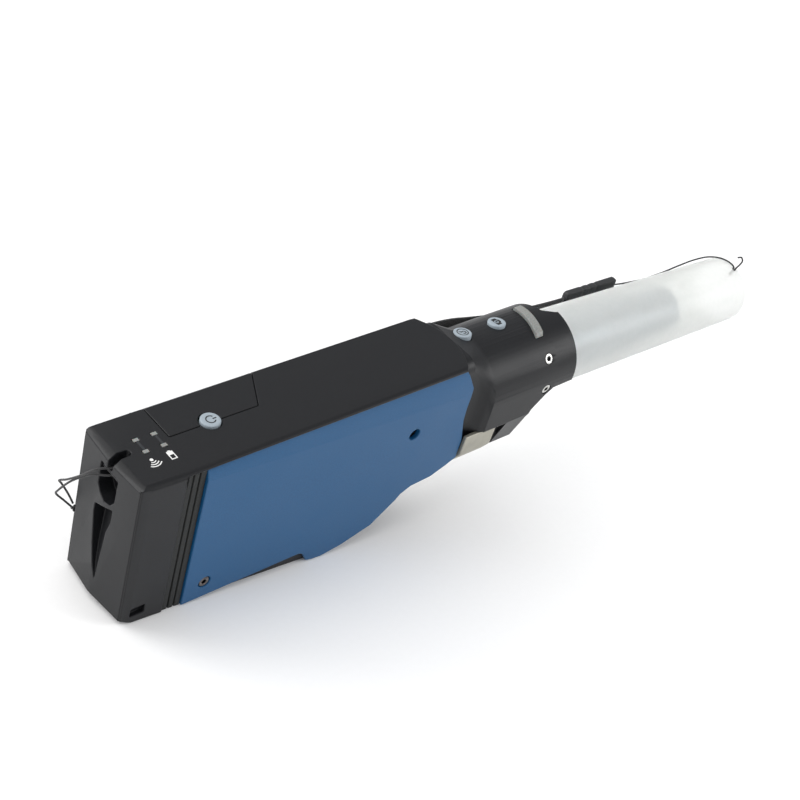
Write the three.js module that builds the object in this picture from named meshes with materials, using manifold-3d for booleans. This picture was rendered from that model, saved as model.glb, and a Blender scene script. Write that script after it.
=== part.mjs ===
// Cordless handheld inspection probe: a two-colour pistol-less body with a round collar,
// an optical barrel under a pull-off sleeve, three push buttons, a focus slide under the
// chin, a lift-off battery door and an elastic tether from the heel to the sleeve's tip.
//
// Millimetres. The body is drawn in its own frame, in which the top face is level: x runs
// from the heel to the nose, y to the left, z up. The finished body is then pitched so that
// its sloping base stands flat on z = 0.
import * as THREE from 'three';
import { mergeVertices } from 'three/addons/utils/BufferGeometryUtils.js';
import Module from 'manifold-3d';

const wasm = await Module();
wasm.setup();
const { Manifold, Mesh } = wasm;
const DEG = Math.PI / 180;

// ---------------------------------------------------------------- driving dimensions
const GAP = 0.3;                    // between neighbours that don't move
const RUN = 0.4;                    // round a piece that moves

const TOP_Z = 80.2;                 // top face
const PITCH = 6.5 * DEG;            // slope of the base against the top face
const HEEL_Z = -1.65;               // height of the base line below the heel
const BASE_END = 117;               // front of the flat base
const SIDE_HALF = 22;               // half width across the heel block
const TOP_HALF = SIDE_HALF - 2;     // half width of the flat top
const EDGE_Y = 1.76;                // bevel along the top edge
const EDGE_Z = 1.7;
const CORE_HALF = SIDE_HALF - 2.3;  // half width of the shells behind the side panels
const SHELL_WALL = 2;
const TOP_WALL = 2.4;
const PART_Z = 38;                  // height of the joint between the two shells

const RIDGE_LOW = 3.1;              // how far the heel's ridge stands out, foot and top
const RIDGE_HIGH = 1.0;
const HEEL_LENGTH = 22.6;           // heel block
const HEEL_HOLLOW = 12;             // where the heel block's hollow starts
const HEEL_CORNER = SIDE_HALF - 1;  // half width across the heel face
const HEEL_LEAN = 2.7;              // set-back of the top face's rear edge
const GASKET_END = 32.7;            // front of the ribbed gasket
const GASKET_HALF = SIDE_HALF - 0.8;
const BODY_END = 192;               // front of the body on the centre line
const BODY_BULGE = 6.5;             // how much less that is at the sides

const CHANNEL_HALF = 6.4;           // tether recess in the heel face
const CHANNEL_DEPTH = 7.5;
const CHANNEL_LOW = 56;             // bottom of its rounded lower end
const CHANNEL_HIGH = 73.5;
const POCKET_TOP = 57.8;            // pointed pocket below it, scooped out towards its top
const POCKET_TIP = 12.5;
const POCKET_DEEP = 8;
const POCKET_SHALLOW = 0.8;

const PANEL_START = 33;
const PANEL_TOP = TOP_Z - 2.6;
const PANEL_EDGE_HALF = SIDE_HALF - 0.4;    // outside of a side panel: top, crease and foot
const PANEL_CREASE_HALF = SIDE_HALF + 0.8;
const PANEL_FOOT_HALF = SIDE_HALF;
const CREASE_REAR = 72;
const CREASE_FRONT = 60.7;

const NOSE_Z = 49.5;                // collar axis
const COLLAR_R = 25.6;
const COLLAR_START = 208.5;
const COLLAR_END = 268.6;
const BORE_R = COLLAR_R - 2.7;      // where the sleeve seats
const BORE_START = 214;
const PASSAGE_R = 17.5;
const BULKHEAD_X = 207.5;           // wall between the body's hollow and the sleeve's seat
const CHIN_Z = 14.9;
const CHIN_FRONT = 239.6;
const CHIN_TAPER = 18.6;            // height of the drawn-in lower side of the chin
const CHIN_IN = 5.6;
const CONTROL_ROLL = -8;            // the collar's controls lie this many degrees off the top

const OPTICS_X = 222;               // where the optical axis leaves the collar's axis
const OPTICS_DROOP = 2.34 * DEG;
const SLEEVE_IN = -3;               // sleeve, along the optical axis from OPTICS_X
const SLEEVE_OUT = 208.2;
const SLEEVE_R_IN = COLLAR_R - 4.6;
const SLEEVE_R_OUT = COLLAR_R - 6.6;
const SLEEVE_WALL = 0.9;
const BARREL_R = 15.4;
const BARREL_NECK_R = 14.2;
const BARREL_NOSE_R = 13.4;
const BARREL_BORE = 12.2;
const BARREL_WALL = 1.2;
const BARREL_REAR = -34;
const BARREL_STEP = 112;
const BARREL_END = 149;

const BUTTON_R = 4.7;
const BUTTON_PROUD = 1.4;
const POWER_X = 49.4;
const POWER_Y = 1.3;
const FOCUS_X = 204.5;
const CAPTURE_X = 229;

const DOOR_START = 28;
const DOOR_EDGE_Y = 0.8;            // inner edge of the battery door on the top face
const DOOR_CORNER = 74.7;           // where its slanting front edge starts
const DOOR_END = 85.8;
const DOOR_FOOT = 9;
const DOOR_WALL = 1.8;

const SLIDE_START = 197.4;          // focus slide
const SLIDE_LENGTH = 21.5;
const SLIDE_TRAVEL = 5.5;
const SLIDE_TOP = 32.6;
const SLIDE_HALF = 24.4;
const SLIDE_WALL = 2.2;

const CELL_R = 9.1;                 // rechargeable cells, standing side by side
const CELL_LENGTH = 64.6;
const CELL_PITCH = 2 * CELL_R + 0.4;
const CELL_COUNT = 3;
const CELL_Y = 10.6;
const CELL_LOW = 10.8;
const CELL_START = 38.6;
const CORD_R = 0.48;

const baseZ = (x) => HEEL_Z - Math.tan(PITCH) * x;

// ---------------------------------------------------------------- finishes
const finish = (color, roughness, metalness = 0, opacity = 1) => new THREE.MeshStandardMaterial(
  { color, roughness, metalness, opacity, transparent: opacity < 1 });
const BLACK = finish(0x37383b, 0.45);
const BLUE = finish(0x2f6396, 0.5);
const GREY_KEY = finish(0xb4bfc6, 0.5);
const LIGHT_PIPE = finish(0x9c9f9c, 0.35);
const MILKY = finish(0xeff1ee, 0.4, 0, 0.55);
const RUBBER = finish(0x2c2e2d, 0.8);
const SATIN_STEEL = finish(0xb5b2a8, 0.35, 0.9);
const STEEL = finish(0xc4c4c0, 0.3, 0.95);
const ANODISED = finish(0x56616c, 0.4, 0.7);
const GLASS = finish(0xcfdde2, 0.05, 0, 0.4);
const BOARD = finish(0x1f5a3a, 0.6);
const CELL_WRAP = finish(0x4c7a54, 0.45);
const NYLON = finish(0x2a2b2c, 0.7);
const WEBBING = finish(0x1d1d1e, 0.9);

// ---------------------------------------------------------------- solids
function solid(geometry) {
  const bare = geometry.clone();
  bare.deleteAttribute('normal');
  bare.deleteAttribute('uv');
  const merged = mergeVertices(bare);
  const index = merged.index.array;
  const kept = [];
  for (let i = 0; i < index.length; i += 3) {
    const [a, b, c] = [index[i], index[i + 1], index[i + 2]];
    if (a !== b && b !== c && c !== a) kept.push(a, b, c);
  }
  const body = new Manifold(new Mesh({
    numProp: 3,
    vertProperties: new Float32Array(merged.attributes.position.array),
    triVerts: new Uint32Array(kept),
  }));
  return body;
}

const unite = (first, ...rest) => rest.reduce((sum, next) => sum.add(next), first);
const cut = (first, ...rest) => rest.reduce((sum, next) => sum.subtract(next), first);

const outline = (points) => new THREE.Shape(points.map(([a, b]) => new THREE.Vector2(a, b)));
const asShape = (drawing) => (drawing instanceof THREE.Shape ? drawing : outline(drawing));

function extrude(drawing, depth, curveSegments = 24) {
  return new THREE.ExtrudeGeometry(asShape(drawing), { depth, bevelEnabled: false, curveSegments });
}

// A drawing in (x, z) carried along y, in (y, z) carried along x, and in (x, y) carried along z.
const alongY = (drawing, y0, y1) => solid(extrude(drawing, y1 - y0).rotateX(Math.PI / 2)
  .translate(0, y1, 0));
const alongZ = (drawing, z0, z1) => solid(extrude(drawing, z1 - z0).translate(0, 0, z0));
const TURN_TO_X = new THREE.Matrix4().set(0, 0, 1, 0, 1, 0, 0, 0, 0, 1, 0, 0, 0, 0, 0, 1);
const STAND_UP = new THREE.Matrix4().set(0, 1, 0, 0, 0, 0, 1, 0, 1, 0, 0, 0, 0, 0, 0, 1);
const alongX = (drawing, x0, x1, segments) => solid(extrude(drawing, x1 - x0, segments)
  .applyMatrix4(TURN_TO_X).translate(x0, 0, 0));

const block = (x0, x1, y0, y1, z0, z1) => solid(new THREE.BoxGeometry(x1 - x0, y1 - y0, z1 - z0)
  .translate((x0 + x1) / 2, (y0 + y1) / 2, (z0 + z1) / 2));

// Round bars between two stations on an axis through (a, b).
const cylinder = (r, length, sides) => new THREE.CylinderGeometry(r, r, length, sides);
const barX = (r, x0, x1, y, z, sides = 32) => solid(cylinder(r, x1 - x0, sides)
  .rotateZ(-Math.PI / 2).translate((x0 + x1) / 2, y, z));
const barY = (r, y0, y1, x, z, sides = 24) => solid(cylinder(r, y1 - y0, sides)
  .translate(x, (y0 + y1) / 2, z));
const barZ = (r, z0, z1, x, y, sides = 32) => solid(cylinder(r, z1 - z0, sides)
  .rotateX(Math.PI / 2).translate(x, y, (z0 + z1) / 2));

// A round profile of [radius, x] pairs turned about the x axis.
function turned(profile, sides = 40) {
  const points = profile.map(([r, x]) => new THREE.Vector2(r, x));
  return solid(new THREE.LatheGeometry(points, sides).rotateZ(-Math.PI / 2));
}
const tubeX = (rOut, rIn, x0, x1, sides) => turned(
  [[rIn, x0], [rOut, x0], [rOut, x1], [rIn, x1], [rIn, x0]], sides);

// A bar that stands on the collar, radially, at a roll angle from the top.
function radial(r, r0, r1, x, rollDegrees, sides = 28) {
  const bar = cylinder(r, r1 - r0, sides).rotateX(Math.PI / 2).translate(0, 0, (r0 + r1) / 2);
  return solid(bar.rotateX(rollDegrees * DEG).translate(x, 0, NOSE_Z));
}

// Rings of points, all with the same count, skinned and closed at both ends.
function skin(rings) {
  const count = rings[0].length;
  const positions = rings.flat(2);
  const index = [];
  for (let i = 0; i + 1 < rings.length; i += 1) {
    for (let j = 0; j < count; j += 1) {
      const [a, b] = [i * count + j, i * count + (j + 1) % count];
      index.push(a, b, b + count, a, b + count, a + count);
    }
  }
  const cap = THREE.ShapeUtils.triangulateShape(
    rings[0].map(([, y, z]) => new THREE.Vector2(y, z)), []);
  const last = (rings.length - 1) * count;
  for (const [a, b, c] of cap) index.push(a, c, b, last + a, last + b, last + c);
  const geometry = new THREE.BufferGeometry();
  geometry.setAttribute('position', new THREE.Float32BufferAttribute(positions, 3));
  geometry.setIndex(index);
  return geometry;
}
const loft = (rings) => solid(skin(rings));

function toMesh(name, shape, material) {
  const geometry = new THREE.BufferGeometry();
  const { vertProperties, triVerts } = shape.getMesh();
  geometry.setAttribute('position', new THREE.BufferAttribute(vertProperties, 3));
  geometry.setIndex(new THREE.BufferAttribute(triVerts, 1));
  geometry.computeVertexNormals();
  const mesh = new THREE.Mesh(geometry, material);
  mesh.name = name;
  return mesh;
}

const body = new THREE.Group();
const optics = new THREE.Group();
const add = (name, shape, material, group = body) => group.add(toMesh(name, shape, material));

// ---------------------------------------------------------------- shared outlines
const frontX = (y) => BODY_END - BODY_BULGE * (y / TOP_HALF) ** 2;

// The body's plan, with its bowed front, a clearance larger all round the front.
function plan(half, grow = 0) {
  const front = [];
  for (let i = -8; i <= 8; i += 1) front.push([frontX((half * i) / 8) + grow, (half * i) / 8]);
  return [[-20, -half], ...front, [-20, half]];
}

// The lower front of the body, from the belly up to the nose, as seen from the side.
const BELLY = [[117, -14.7], [129, -13], [147, -7.5], [160, 4], [162.5, 7.1], [168.3, 10.1],
  [181.6, 11.2], [190.8, 15]];

function panelOutline(start) {
  return [[start, PANEL_TOP], [185.2, PANEL_TOP], [187.3, 74.9], [192.2, 65.6], [192, 52.9],
    [192.7, 44.6], [196.8, 29.7], [196.8, 18], ...[...BELLY].reverse(), [111, -14.1],
    [107, -12.9], [104, -7.2], [101, -5.4], [start, -5.2]];
}

// ---------------------------------------------------------------- battery door
// An L-shaped lid over the left half of the top and the left side.
const doorPlan = (grow) => [[DOOR_START - grow, DOOR_EDGE_Y - grow],
  [DOOR_CORNER + grow / 2, DOOR_EDGE_Y - grow], [DOOR_END + grow, TOP_HALF + 1],
  [DOOR_END + grow, 40], [DOOR_START - grow, 40]];

function doorVolume(grow) {
  return alongZ(doorPlan(grow), DOOR_FOOT - grow, TOP_Z + 5);
}

function batteryDoor() {
  const half = SIDE_HALF;
  const outer = [[0, TOP_Z], [TOP_HALF, TOP_Z], [TOP_HALF + EDGE_Y, TOP_Z - EDGE_Z],
    [half, TOP_Z - 4], [half, DOOR_FOOT], [half - DOOR_WALL, DOOR_FOOT],
    [half - DOOR_WALL, TOP_Z - DOOR_WALL - 2], [half - DOOR_WALL - 2, TOP_Z - DOOR_WALL],
    [0, TOP_Z - DOOR_WALL]];
  const skin = alongX(outer, DOOR_START - 1, DOOR_END + 1).intersect(doorVolume(0));
  return cut(skin, barZ(BUTTON_R + GAP + RUN, 0, TOP_Z + 5, POWER_X, POWER_Y));
}

// ---------------------------------------------------------------- main housing
function heelBlock() {
  // Drawn as (z, x, y) so that the rings stack up, then turned to stand upright.
  const ring = (ridge, z) => [[-ridge, 0], [0, -HEEL_CORNER], [5, -SIDE_HALF],
    [HEEL_LENGTH, -SIDE_HALF], [HEEL_LENGTH, SIDE_HALF], [5, SIDE_HALF], [0, HEEL_CORNER]]
    .map(([x, y]) => [z, x, y]);
  const rings = [ring(RIDGE_LOW, -8), ring(RIDGE_HIGH, TOP_Z)];
  const block0 = solid(skin(rings).applyMatrix4(STAND_UP));
  const side = [[-5, 3.2], [6.3, baseZ(6.3)], [HEEL_LENGTH, baseZ(HEEL_LENGTH)],
    [HEEL_LENGTH, TOP_Z], [HEEL_LEAN, TOP_Z], [-RIDGE_HIGH - 0.4, TOP_Z - 3.4], [-5, TOP_Z - 7]];
  const section = [[-SIDE_HALF, -10], [SIDE_HALF, -10], [SIDE_HALF, TOP_Z - 3.4],
    [TOP_HALF + EDGE_Y, TOP_Z - EDGE_Z], [TOP_HALF, TOP_Z], [-TOP_HALF, TOP_Z],
    [-TOP_HALF - EDGE_Y, TOP_Z - EDGE_Z], [-SIDE_HALF, TOP_Z - 3.4]];
  return block0.intersect(alongY(side, -30, 30)).intersect(alongX(section, -10, 30));
}

function heelCuts() {
  const depth = CHANNEL_DEPTH;
  const eye = alongX([[CHANNEL_HALF, CHANNEL_HIGH], [-CHANNEL_HALF, CHANNEL_HIGH],
    [-CHANNEL_HALF, CHANNEL_LOW + 4.5], [-4, CHANNEL_LOW + 1], [0, CHANNEL_LOW],
    [4, CHANNEL_LOW + 1.8], [CHANNEL_HALF, CHANNEL_LOW + 5]], -10, depth - RIDGE_HIGH);
  const slot = unite(block(-10, 6.4, -1.8, 1.8, CHANNEL_HIGH - 1, TOP_Z + 1),
    barZ(1.8, CHANNEL_HIGH - 1, TOP_Z + 1, 6.4, 0, 20));
  const pocket = [[-CHANNEL_HALF, POCKET_TOP - 2], [-CHANNEL_HALF, 49], [-4.6, 42],
    [-2.8, POCKET_TIP], [0.2, 19.5], [3.2, 29.5], [CHANNEL_HALF, 45], [CHANNEL_HALF, 49.5],
    [0, 53]];
  const chute = [[-10, 0], [POCKET_SHALLOW - RIDGE_LOW, POCKET_TIP - 2],
    [POCKET_DEEP - RIDGE_HIGH, POCKET_TOP - 6], [POCKET_DEEP - RIDGE_HIGH, 80], [-10, 80]];
  const notch = alongX(pocket, -10, 20).intersect(alongY(chute, -10, 10));
  const ports = [-1, 1].map((side) => block(5, 12.3, side > 0 ? SIDE_HALF - 2.5 : -30,
    side > 0 ? 30 : 2.5 - SIDE_HALF, 1.7, 6.7));
  const hollow = block(HEEL_HOLLOW, HEEL_LENGTH + 1, -SIDE_HALF + 3, SIDE_HALF - 3, 3,
    TOP_Z - TOP_WALL);
  return [eye, slot, notch, ...ports, hollow];
}

const PIPES = [[14.1, 5, 'radio_light_1'], [14.1, -2.6, 'radio_light_2'],
  [23.1, 5, 'charge_light_1'], [23.1, -2.6, 'charge_light_2']];
const PIPE_X = 1.3;                 // half sizes of a light window
const PIPE_Y = 0.9;
const pipeBlock = ([x, y], grow, z0, z1) => block(x - PIPE_X - grow, x + PIPE_X + grow,
  y - PIPE_Y - grow, y + PIPE_Y + grow, z0, z1);

const DEEP_SCREW = { x: 158.2, z: 48.9 };
const FOOT_SCREW = { x: 44.1, z: 4.4 };
const BOSS_R = 5;
const BOSS_END = 8.5;               // how far in from the shell's side a boss reaches
const HEAD_R = 2.75;
const SHANK_R = 1.4;

// The hole of one side screw, from outside the panel to the end of its boss.
function screwHole({ x, z }, side, seat) {
  const head = barY(HEAD_R + 0.5, Math.min(side * seat, side * 30), Math.max(side * seat,
    side * 30), x, z);
  const reach = CORE_HALF - BOSS_END - 1;
  const shank = barY(SHANK_R + GAP, Math.min(side * reach, side * 25), Math.max(side * reach,
    side * 25), x, z);
  return head.add(shank);
}
const screwBoss = ({ x, z }, side) => barY(BOSS_R, side > 0 ? CORE_HALF - BOSS_END : -CORE_HALF + 1,
  side > 0 ? CORE_HALF - 1 : -CORE_HALF + BOSS_END, x, z);
const DEEP_SEAT = CORE_HALF - 5;
const FOOT_SEAT = CORE_HALF + 0.4;

function mainHousing() {
  const inner = CORE_HALF - SHELL_WALL;
  const half = [[CORE_HALF, PART_Z + GAP / 2], [CORE_HALF, TOP_Z - EDGE_Z - 0.6],
    [TOP_HALF + EDGE_Y, TOP_Z - EDGE_Z - 0.6], [TOP_HALF + EDGE_Y, TOP_Z - EDGE_Z],
    [TOP_HALF, TOP_Z]];
  const mirrored = half.map(([y, z]) => [-y, z]).reverse();
  const hood = alongX([...half, ...mirrored], HEEL_LENGTH - 1, BODY_END + 1);
  const room = alongX([[-inner, PART_Z - 5], [inner, PART_Z - 5], [inner, TOP_Z - TOP_WALL],
    [-inner, TOP_Z - TOP_WALL]], HEEL_LENGTH - 2, BODY_END + 2);
  const gasketRoom = [-1, 1].map((side) => block(HEEL_LENGTH, GASKET_END + GAP,
    side > 0 ? inner : -30, side > 0 ? 30 : -inner, -20, TOP_Z - EDGE_Z - 0.6));
  let shell = cut(hood, room, ...gasketRoom);
  shell = shell.intersect(alongZ(plan(30), -20, TOP_Z + 5));
  shell = unite(shell, cut(heelBlock(), ...heelCuts()), ...[-1, 1].map(
    (side) => screwBoss(DEEP_SCREW, side)));
  shell = cut(shell, doorVolume(GAP).intersect(block(DOOR_START - 2, 100, -5, 40, DOOR_FOOT - 2,
    TOP_Z + 5)), barZ(BUTTON_R + RUN, 60, TOP_Z + 5, POWER_X, POWER_Y),
  ...PIPES.map((pipe) => pipeBlock(pipe, 0.2, 60, TOP_Z + 5)),
  ...[-1, 1].map((side) => screwHole(DEEP_SCREW, side, DEEP_SEAT)));
  return cut(shell, block(HEEL_LENGTH + 0.001, 300, -60, 60, -60, PART_Z + GAP / 2));
}

// ---------------------------------------------------------------- lower housing
function lowerHousing() {
  const inset = 1;
  const lift = ([x, z]) => [x - inset / 2, z + inset];
  const top = PART_Z - GAP / 2;
  const start = GASKET_END + GAP;
  const profile = [[start, top], [start, baseZ(start)], [BASE_END, baseZ(BASE_END)],
    ...BELLY.slice(1).map(lift),
    [BODY_END + 1, 16.6], [BODY_END + 1, top]];
  const wall = SHELL_WALL;
  const room = [[start - 1, top + 1], [start - 1, baseZ(start) + wall + 0.2],
    [BASE_END - 1, baseZ(BASE_END - 1) + wall], ...BELLY.slice(1).map(([x, z]) => [x - inset - wall * 0.6,
      z + inset + wall]), [BODY_END + 2, 16.6 + wall], [BODY_END + 2, top + 1]];
  const inner = CORE_HALF - wall;
  let tub = cut(alongY(profile, -CORE_HALF, CORE_HALF), alongY(room, -inner, inner));
  tub = tub.intersect(alongZ(plan(30), -40, 100));
  tub = unite(tub, screwBoss(FOOT_SCREW, -1));
  return cut(tub, doorVolume(GAP), screwHole(FOOT_SCREW, -1, FOOT_SEAT));
}

// ---------------------------------------------------------------- gasket
function rearGasket() {
  const x0 = HEEL_LENGTH + GAP;
  const inner = CORE_HALF - SHELL_WALL;
  const top = TOP_Z - EDGE_Z - 0.6 - GAP;
  const outer = block(x0, GASKET_END, -GASKET_HALF, GASKET_HALF, -20, top);
  const room = block(x0 - 1, GASKET_END + 1, -inner, inner, 1, top + 1);
  const ribs = [25.6, 28.9].map((x) => cut(block(x, x + 0.9, -30, 30, -30, 90),
    block(x - 1, x + 2, -GASKET_HALF + 1, GASKET_HALF - 1, -30, 90)));
  const below = alongY([[0, baseZ(0)], [60, baseZ(60)], [60, -60], [0, -60]], -30, 30);
  return cut(outer, room, below, doorVolume(GAP), ...ribs);
}

// ---------------------------------------------------------------- side panels
function sidePanel(side, start) {
  const inner = CORE_HALF + GAP;
  const ring = (x, crease) => [[x, side * inner, -30], [x, side * PANEL_FOOT_HALF, -30],
    [x, side * PANEL_CREASE_HALF, crease], [x, side * PANEL_EDGE_HALF, PANEL_TOP + 2],
    [x, side * inner, PANEL_TOP + 2]];
  const rings = [ring(PANEL_START - 5, CREASE_REAR), ring(200, CREASE_FRONT)];
  const slab = loft(side > 0 ? rings : rings.map((points) => [...points].reverse()));
  const sheet = slab.intersect(alongY(panelOutline(start), -30, 30));
  const holes = [screwHole(DEEP_SCREW, side, CORE_HALF - 5)];
  if (side < 0) holes.push(screwHole(FOOT_SCREW, side, FOOT_SEAT));
  return cut(sheet, ...holes);
}

function sideScrew({ x, z }, side, seat) {
  const span = (a, b) => [Math.min(side * a, side * b), Math.max(side * a, side * b)];
  const head = barY(HEAD_R, ...span(seat + 0.2, seat + 1.8), x, z, 28);
  const shank = barY(SHANK_R, ...span(seat - 4, seat + 0.5), x, z, 12);
  const socket = barY(1.3, ...span(seat + 0.9, seat + 3), x, z, 6);
  return cut(head.add(shank), socket);
}

// ---------------------------------------------------------------- nose housing
// A section of the nose: round or square shoulders above, a drawn-in chin below.
function noseRing(x, half, top, shoulder, foot, footIn) {
  const r = Math.min(shoulder, half - 0.05);
  const points = [[half - footIn, foot], [half, foot + CHIN_TAPER]];
  for (let i = 0; i <= 12; i += 1) {
    const a = (i / 12) * (Math.PI / 2);
    points.push([half - r + r * Math.cos(a), top - r + r * Math.sin(a)]);
  }
  const other = points.map(([y, z]) => [-y, z]).reverse();
  return [...points, ...other].map(([y, z]) => [x, y, z]);
}

// Ahead of the chin only the collar's upper half runs on, as a hood over the sleeve.
const HOOD_CUT = [[300, 46.5], [COLLAR_END, 46.5], [254, 46.1], [249.4, 43.1], [245.6, 39.4],
  [242, 35.9], [240.4, 31.5], [CHIN_FRONT, CHIN_Z - 1], [CHIN_FRONT, 0], [300, 0]];

// On the left the hood's rim is set back, in plan.
const LIP_CUT = [[268.7, -2.8], [266.9, -2.2], [263.1, 0.2], [260.7, 2.2], [260.3, 5.4],
  [260.3, 40], [300, 40], [300, -2.8]];

function noseHousing() {
  const collarTop = NOSE_Z + COLLAR_R;
  const root = CORE_HALF - GAP;
  const flare = loft([
    noseRing(184, root, TOP_Z - 1, 6, 15.8, 3),
    noseRing(BODY_END + 1, root, TOP_Z - 1.2, 7, 15.8, 3.4),
    noseRing(197.2, root, 77.6, 10, CHIN_Z + 0.6, 4),
    noseRing(201.5, 21, 76.3, 15, CHIN_Z + 0.2, 4.6),
    noseRing(205.2, 22.9, 75.5, 20, CHIN_Z, 5.2),
    noseRing(COLLAR_START, COLLAR_R, collarTop, COLLAR_R, CHIN_Z, CHIN_IN),
  ]);
  const tomb = noseRing(0, COLLAR_R, collarTop, COLLAR_R, CHIN_Z, CHIN_IN)
    .map(([, y, z]) => [y, z]);
  const chin = alongX(tomb, COLLAR_START, 254);
  const collar = barX(COLLAR_R, COLLAR_START, COLLAR_END, 0, NOSE_Z, 64);
  return cut(unite(flare, chin, collar), alongY(HOOD_CUT, -40, 40), alongZ(LIP_CUT, 40, 90));
}

// The focus slide's saddle, its run in the chin, and the pin's slot.
const saddle = (half, foot, corner) => [[-half, SLIDE_TOP], [-half + 0.5, foot + 7],
  [-half + corner, foot], [half - corner, foot], [half - 0.5, foot + 7], [half, SLIDE_TOP]];
const PIN_R = 1.8;
const PIN_X = SLIDE_START + 13;
const PIN_TOP = 41;

function noseCuts() {
  const bore = barX(BORE_R, BORE_START, COLLAR_END + 1, 0, NOSE_Z, 64);
  const passage = barX(PASSAGE_R, BULKHEAD_X - 2, BORE_START + 1, 0, NOSE_Z, 40);
  const hollow = loft([
    noseRing(180, 17.4, 77, 6, 18.6, 3),
    noseRing(194, 17.4, 76.2, 7, 18.2, 3),
    noseRing(198, 18, 74.4, 10, 18, 3),
    noseRing(202, 19.3, 73.2, 16, 17.8, 3),
    noseRing(BULKHEAD_X, 21.6, 72, 21, 17.8, 3.4),
  ]);
  const chinHollow = block(180, CHIN_FRONT - 2.6, -18, 18, 18.2, 25.4);
  const bodyRoom = alongZ(plan(30, GAP), -40, 120);
  const run = block(SLIDE_START - RUN, SLIDE_START + SLIDE_LENGTH + SLIDE_TRAVEL + RUN, -40, 40,
    -10, SLIDE_TOP + RUN);
  const core = alongX(saddle(SLIDE_HALF - SLIDE_WALL - RUN, CHIN_Z + SLIDE_WALL - 1.2, 5.2)
    .map(([y, z]) => [y, z === SLIDE_TOP ? SLIDE_TOP + 3 : z]), 180, 260);
  const pinSlot = unite(barZ(PIN_R + RUN, 0, 40, PIN_X, 0, 20),
    barZ(PIN_R + RUN, 0, 40, PIN_X + SLIDE_TRAVEL, 0, 20),
    block(PIN_X, PIN_X + SLIDE_TRAVEL, -PIN_R - RUN, PIN_R + RUN, 0, 40));
  const keys = [radial(BUTTON_R + RUN, COLLAR_R - 1.9, 40, CAPTURE_X, CONTROL_ROLL),
    radial(BUTTON_R + RUN, 22.6, 40, FOCUS_X, CONTROL_ROLL)];
  return [bore, passage, hollow, chinHollow, bodyRoom, cut(run, core), pinSlot, ...keys, 
    stripShape(GAP, COLLAR_R - 1.1, COLLAR_R + 4.4, 0)];
}

const STRIP_X = 248.9;              // middle of the status light across the collar
const STRIP_WIDTH = 5;
const STRIP_SPREAD = 27 * DEG;
const STRIP_ROLL = 1 * DEG;
const STRIP_SLANT = 5.2;            // how far forward its left end lies, per radian
const STRIP_PROUD = 1.6;
const STRIP_RAMP = 4 * DEG;         // chamfer at each end

// The strip's ring sector, carried along x and slanted across the collar.
function stripShape(grow, r0, r1, ramp) {
  const slack = grow / COLLAR_R;
  const low = ramp ? COLLAR_R + 0.3 : r1;
  // Angles run from +y towards +z.
  const a = Math.PI / 2 + STRIP_ROLL - STRIP_SPREAD - slack;
  const b = Math.PI / 2 + STRIP_ROLL + STRIP_SPREAD + slack;
  const shape = new THREE.Shape();
  shape.moveTo(low * Math.cos(a), low * Math.sin(a));
  shape.absarc(0, 0, r1, a + ramp, b - ramp, false);
  shape.lineTo(low * Math.cos(b), low * Math.sin(b));
  shape.absarc(0, 0, r0, b, a, true);
  const drawn = extrude(shape, STRIP_WIDTH + 2 * grow, 24).applyMatrix4(TURN_TO_X)
    .translate(STRIP_X - STRIP_WIDTH / 2 - grow, 0, 0);
  const points = drawn.attributes.position;
  for (let i = 0; i < points.count; i += 1) {
    const roll = Math.atan2(points.getY(i), points.getZ(i));
    points.setX(i, points.getX(i) + STRIP_SLANT * roll);
  }
  return solid(drawn.translate(0, 0, NOSE_Z));
}

const COLLAR_SCREWS = [[55, 248], [95, 248.6], [-71, 248], [-111, 248.6]];
const COLLAR_HEAD_R = 2.4;

function collarScrewHoles([roll, x]) {
  return unite(radial(COLLAR_HEAD_R + 0.7, COLLAR_R - 1.5, 40, x, roll, 20),
    radial(1.6, 20, 40, x, roll, 14));
}

function collarScrew([roll, x]) {
  const head = radial(COLLAR_HEAD_R, COLLAR_R - 1.3, COLLAR_R - 0.1, x, roll, 24);
  const shank = radial(1.2, BORE_R - 0.2, COLLAR_R - 1, x, roll, 12);
  return cut(head.add(shank), radial(1.25, COLLAR_R - 1, 40, x, roll, 6));
}

// ---------------------------------------------------------------- buttons
// A round key with a domed face; its axis is z and its face is at the origin.
function keyCap(height) {
  const r = BUTTON_R;
  const profile = [[0, -height], [r, -height], [r, -0.7], [r - 0.25, -0.25], [r - 0.8, -0.05],
    [r * 0.5, 0.02], [0, 0.04]];
  const points = profile.map(([a, b]) => new THREE.Vector2(a, b));
  return new THREE.LatheGeometry(points, 24).rotateX(Math.PI / 2);
}
const onCollar = (geometry, x, r) => geometry.translate(0, 0, r)
  .rotateX(CONTROL_ROLL * DEG).translate(x, 0, NOSE_Z);

// ---------------------------------------------------------------- focus slide
function focusSlide() {
  const x0 = SLIDE_START;
  const x1 = SLIDE_START + SLIDE_LENGTH;
  const shell = cut(alongX(saddle(SLIDE_HALF, CHIN_Z - 1.4, 4.6), x0, x1),
    alongX(saddle(SLIDE_HALF - SLIDE_WALL, CHIN_Z - 1.4 + SLIDE_WALL, 4.6)
      .map(([y, z]) => [y, z === SLIDE_TOP ? SLIDE_TOP + 1 : z]), x0 - 1, x1 + 1));
  return shell.add(barZ(PIN_R, CHIN_Z - 0.5, PIN_TOP, PIN_X, 0, 20));
}

// ---------------------------------------------------------------- optics
const drop = (x) => Math.tan(OPTICS_DROOP) * (x - OPTICS_X);

// Room for the focus pin's travel, in the optics' frame.
const pinRoom = (z0, z1, slack) => block(PIN_X - OPTICS_X - PIN_R - slack,
  PIN_X - OPTICS_X + SLIDE_TRAVEL + PIN_R + slack, -PIN_R - 0.6, PIN_R + 0.6, z0, z1);

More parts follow.
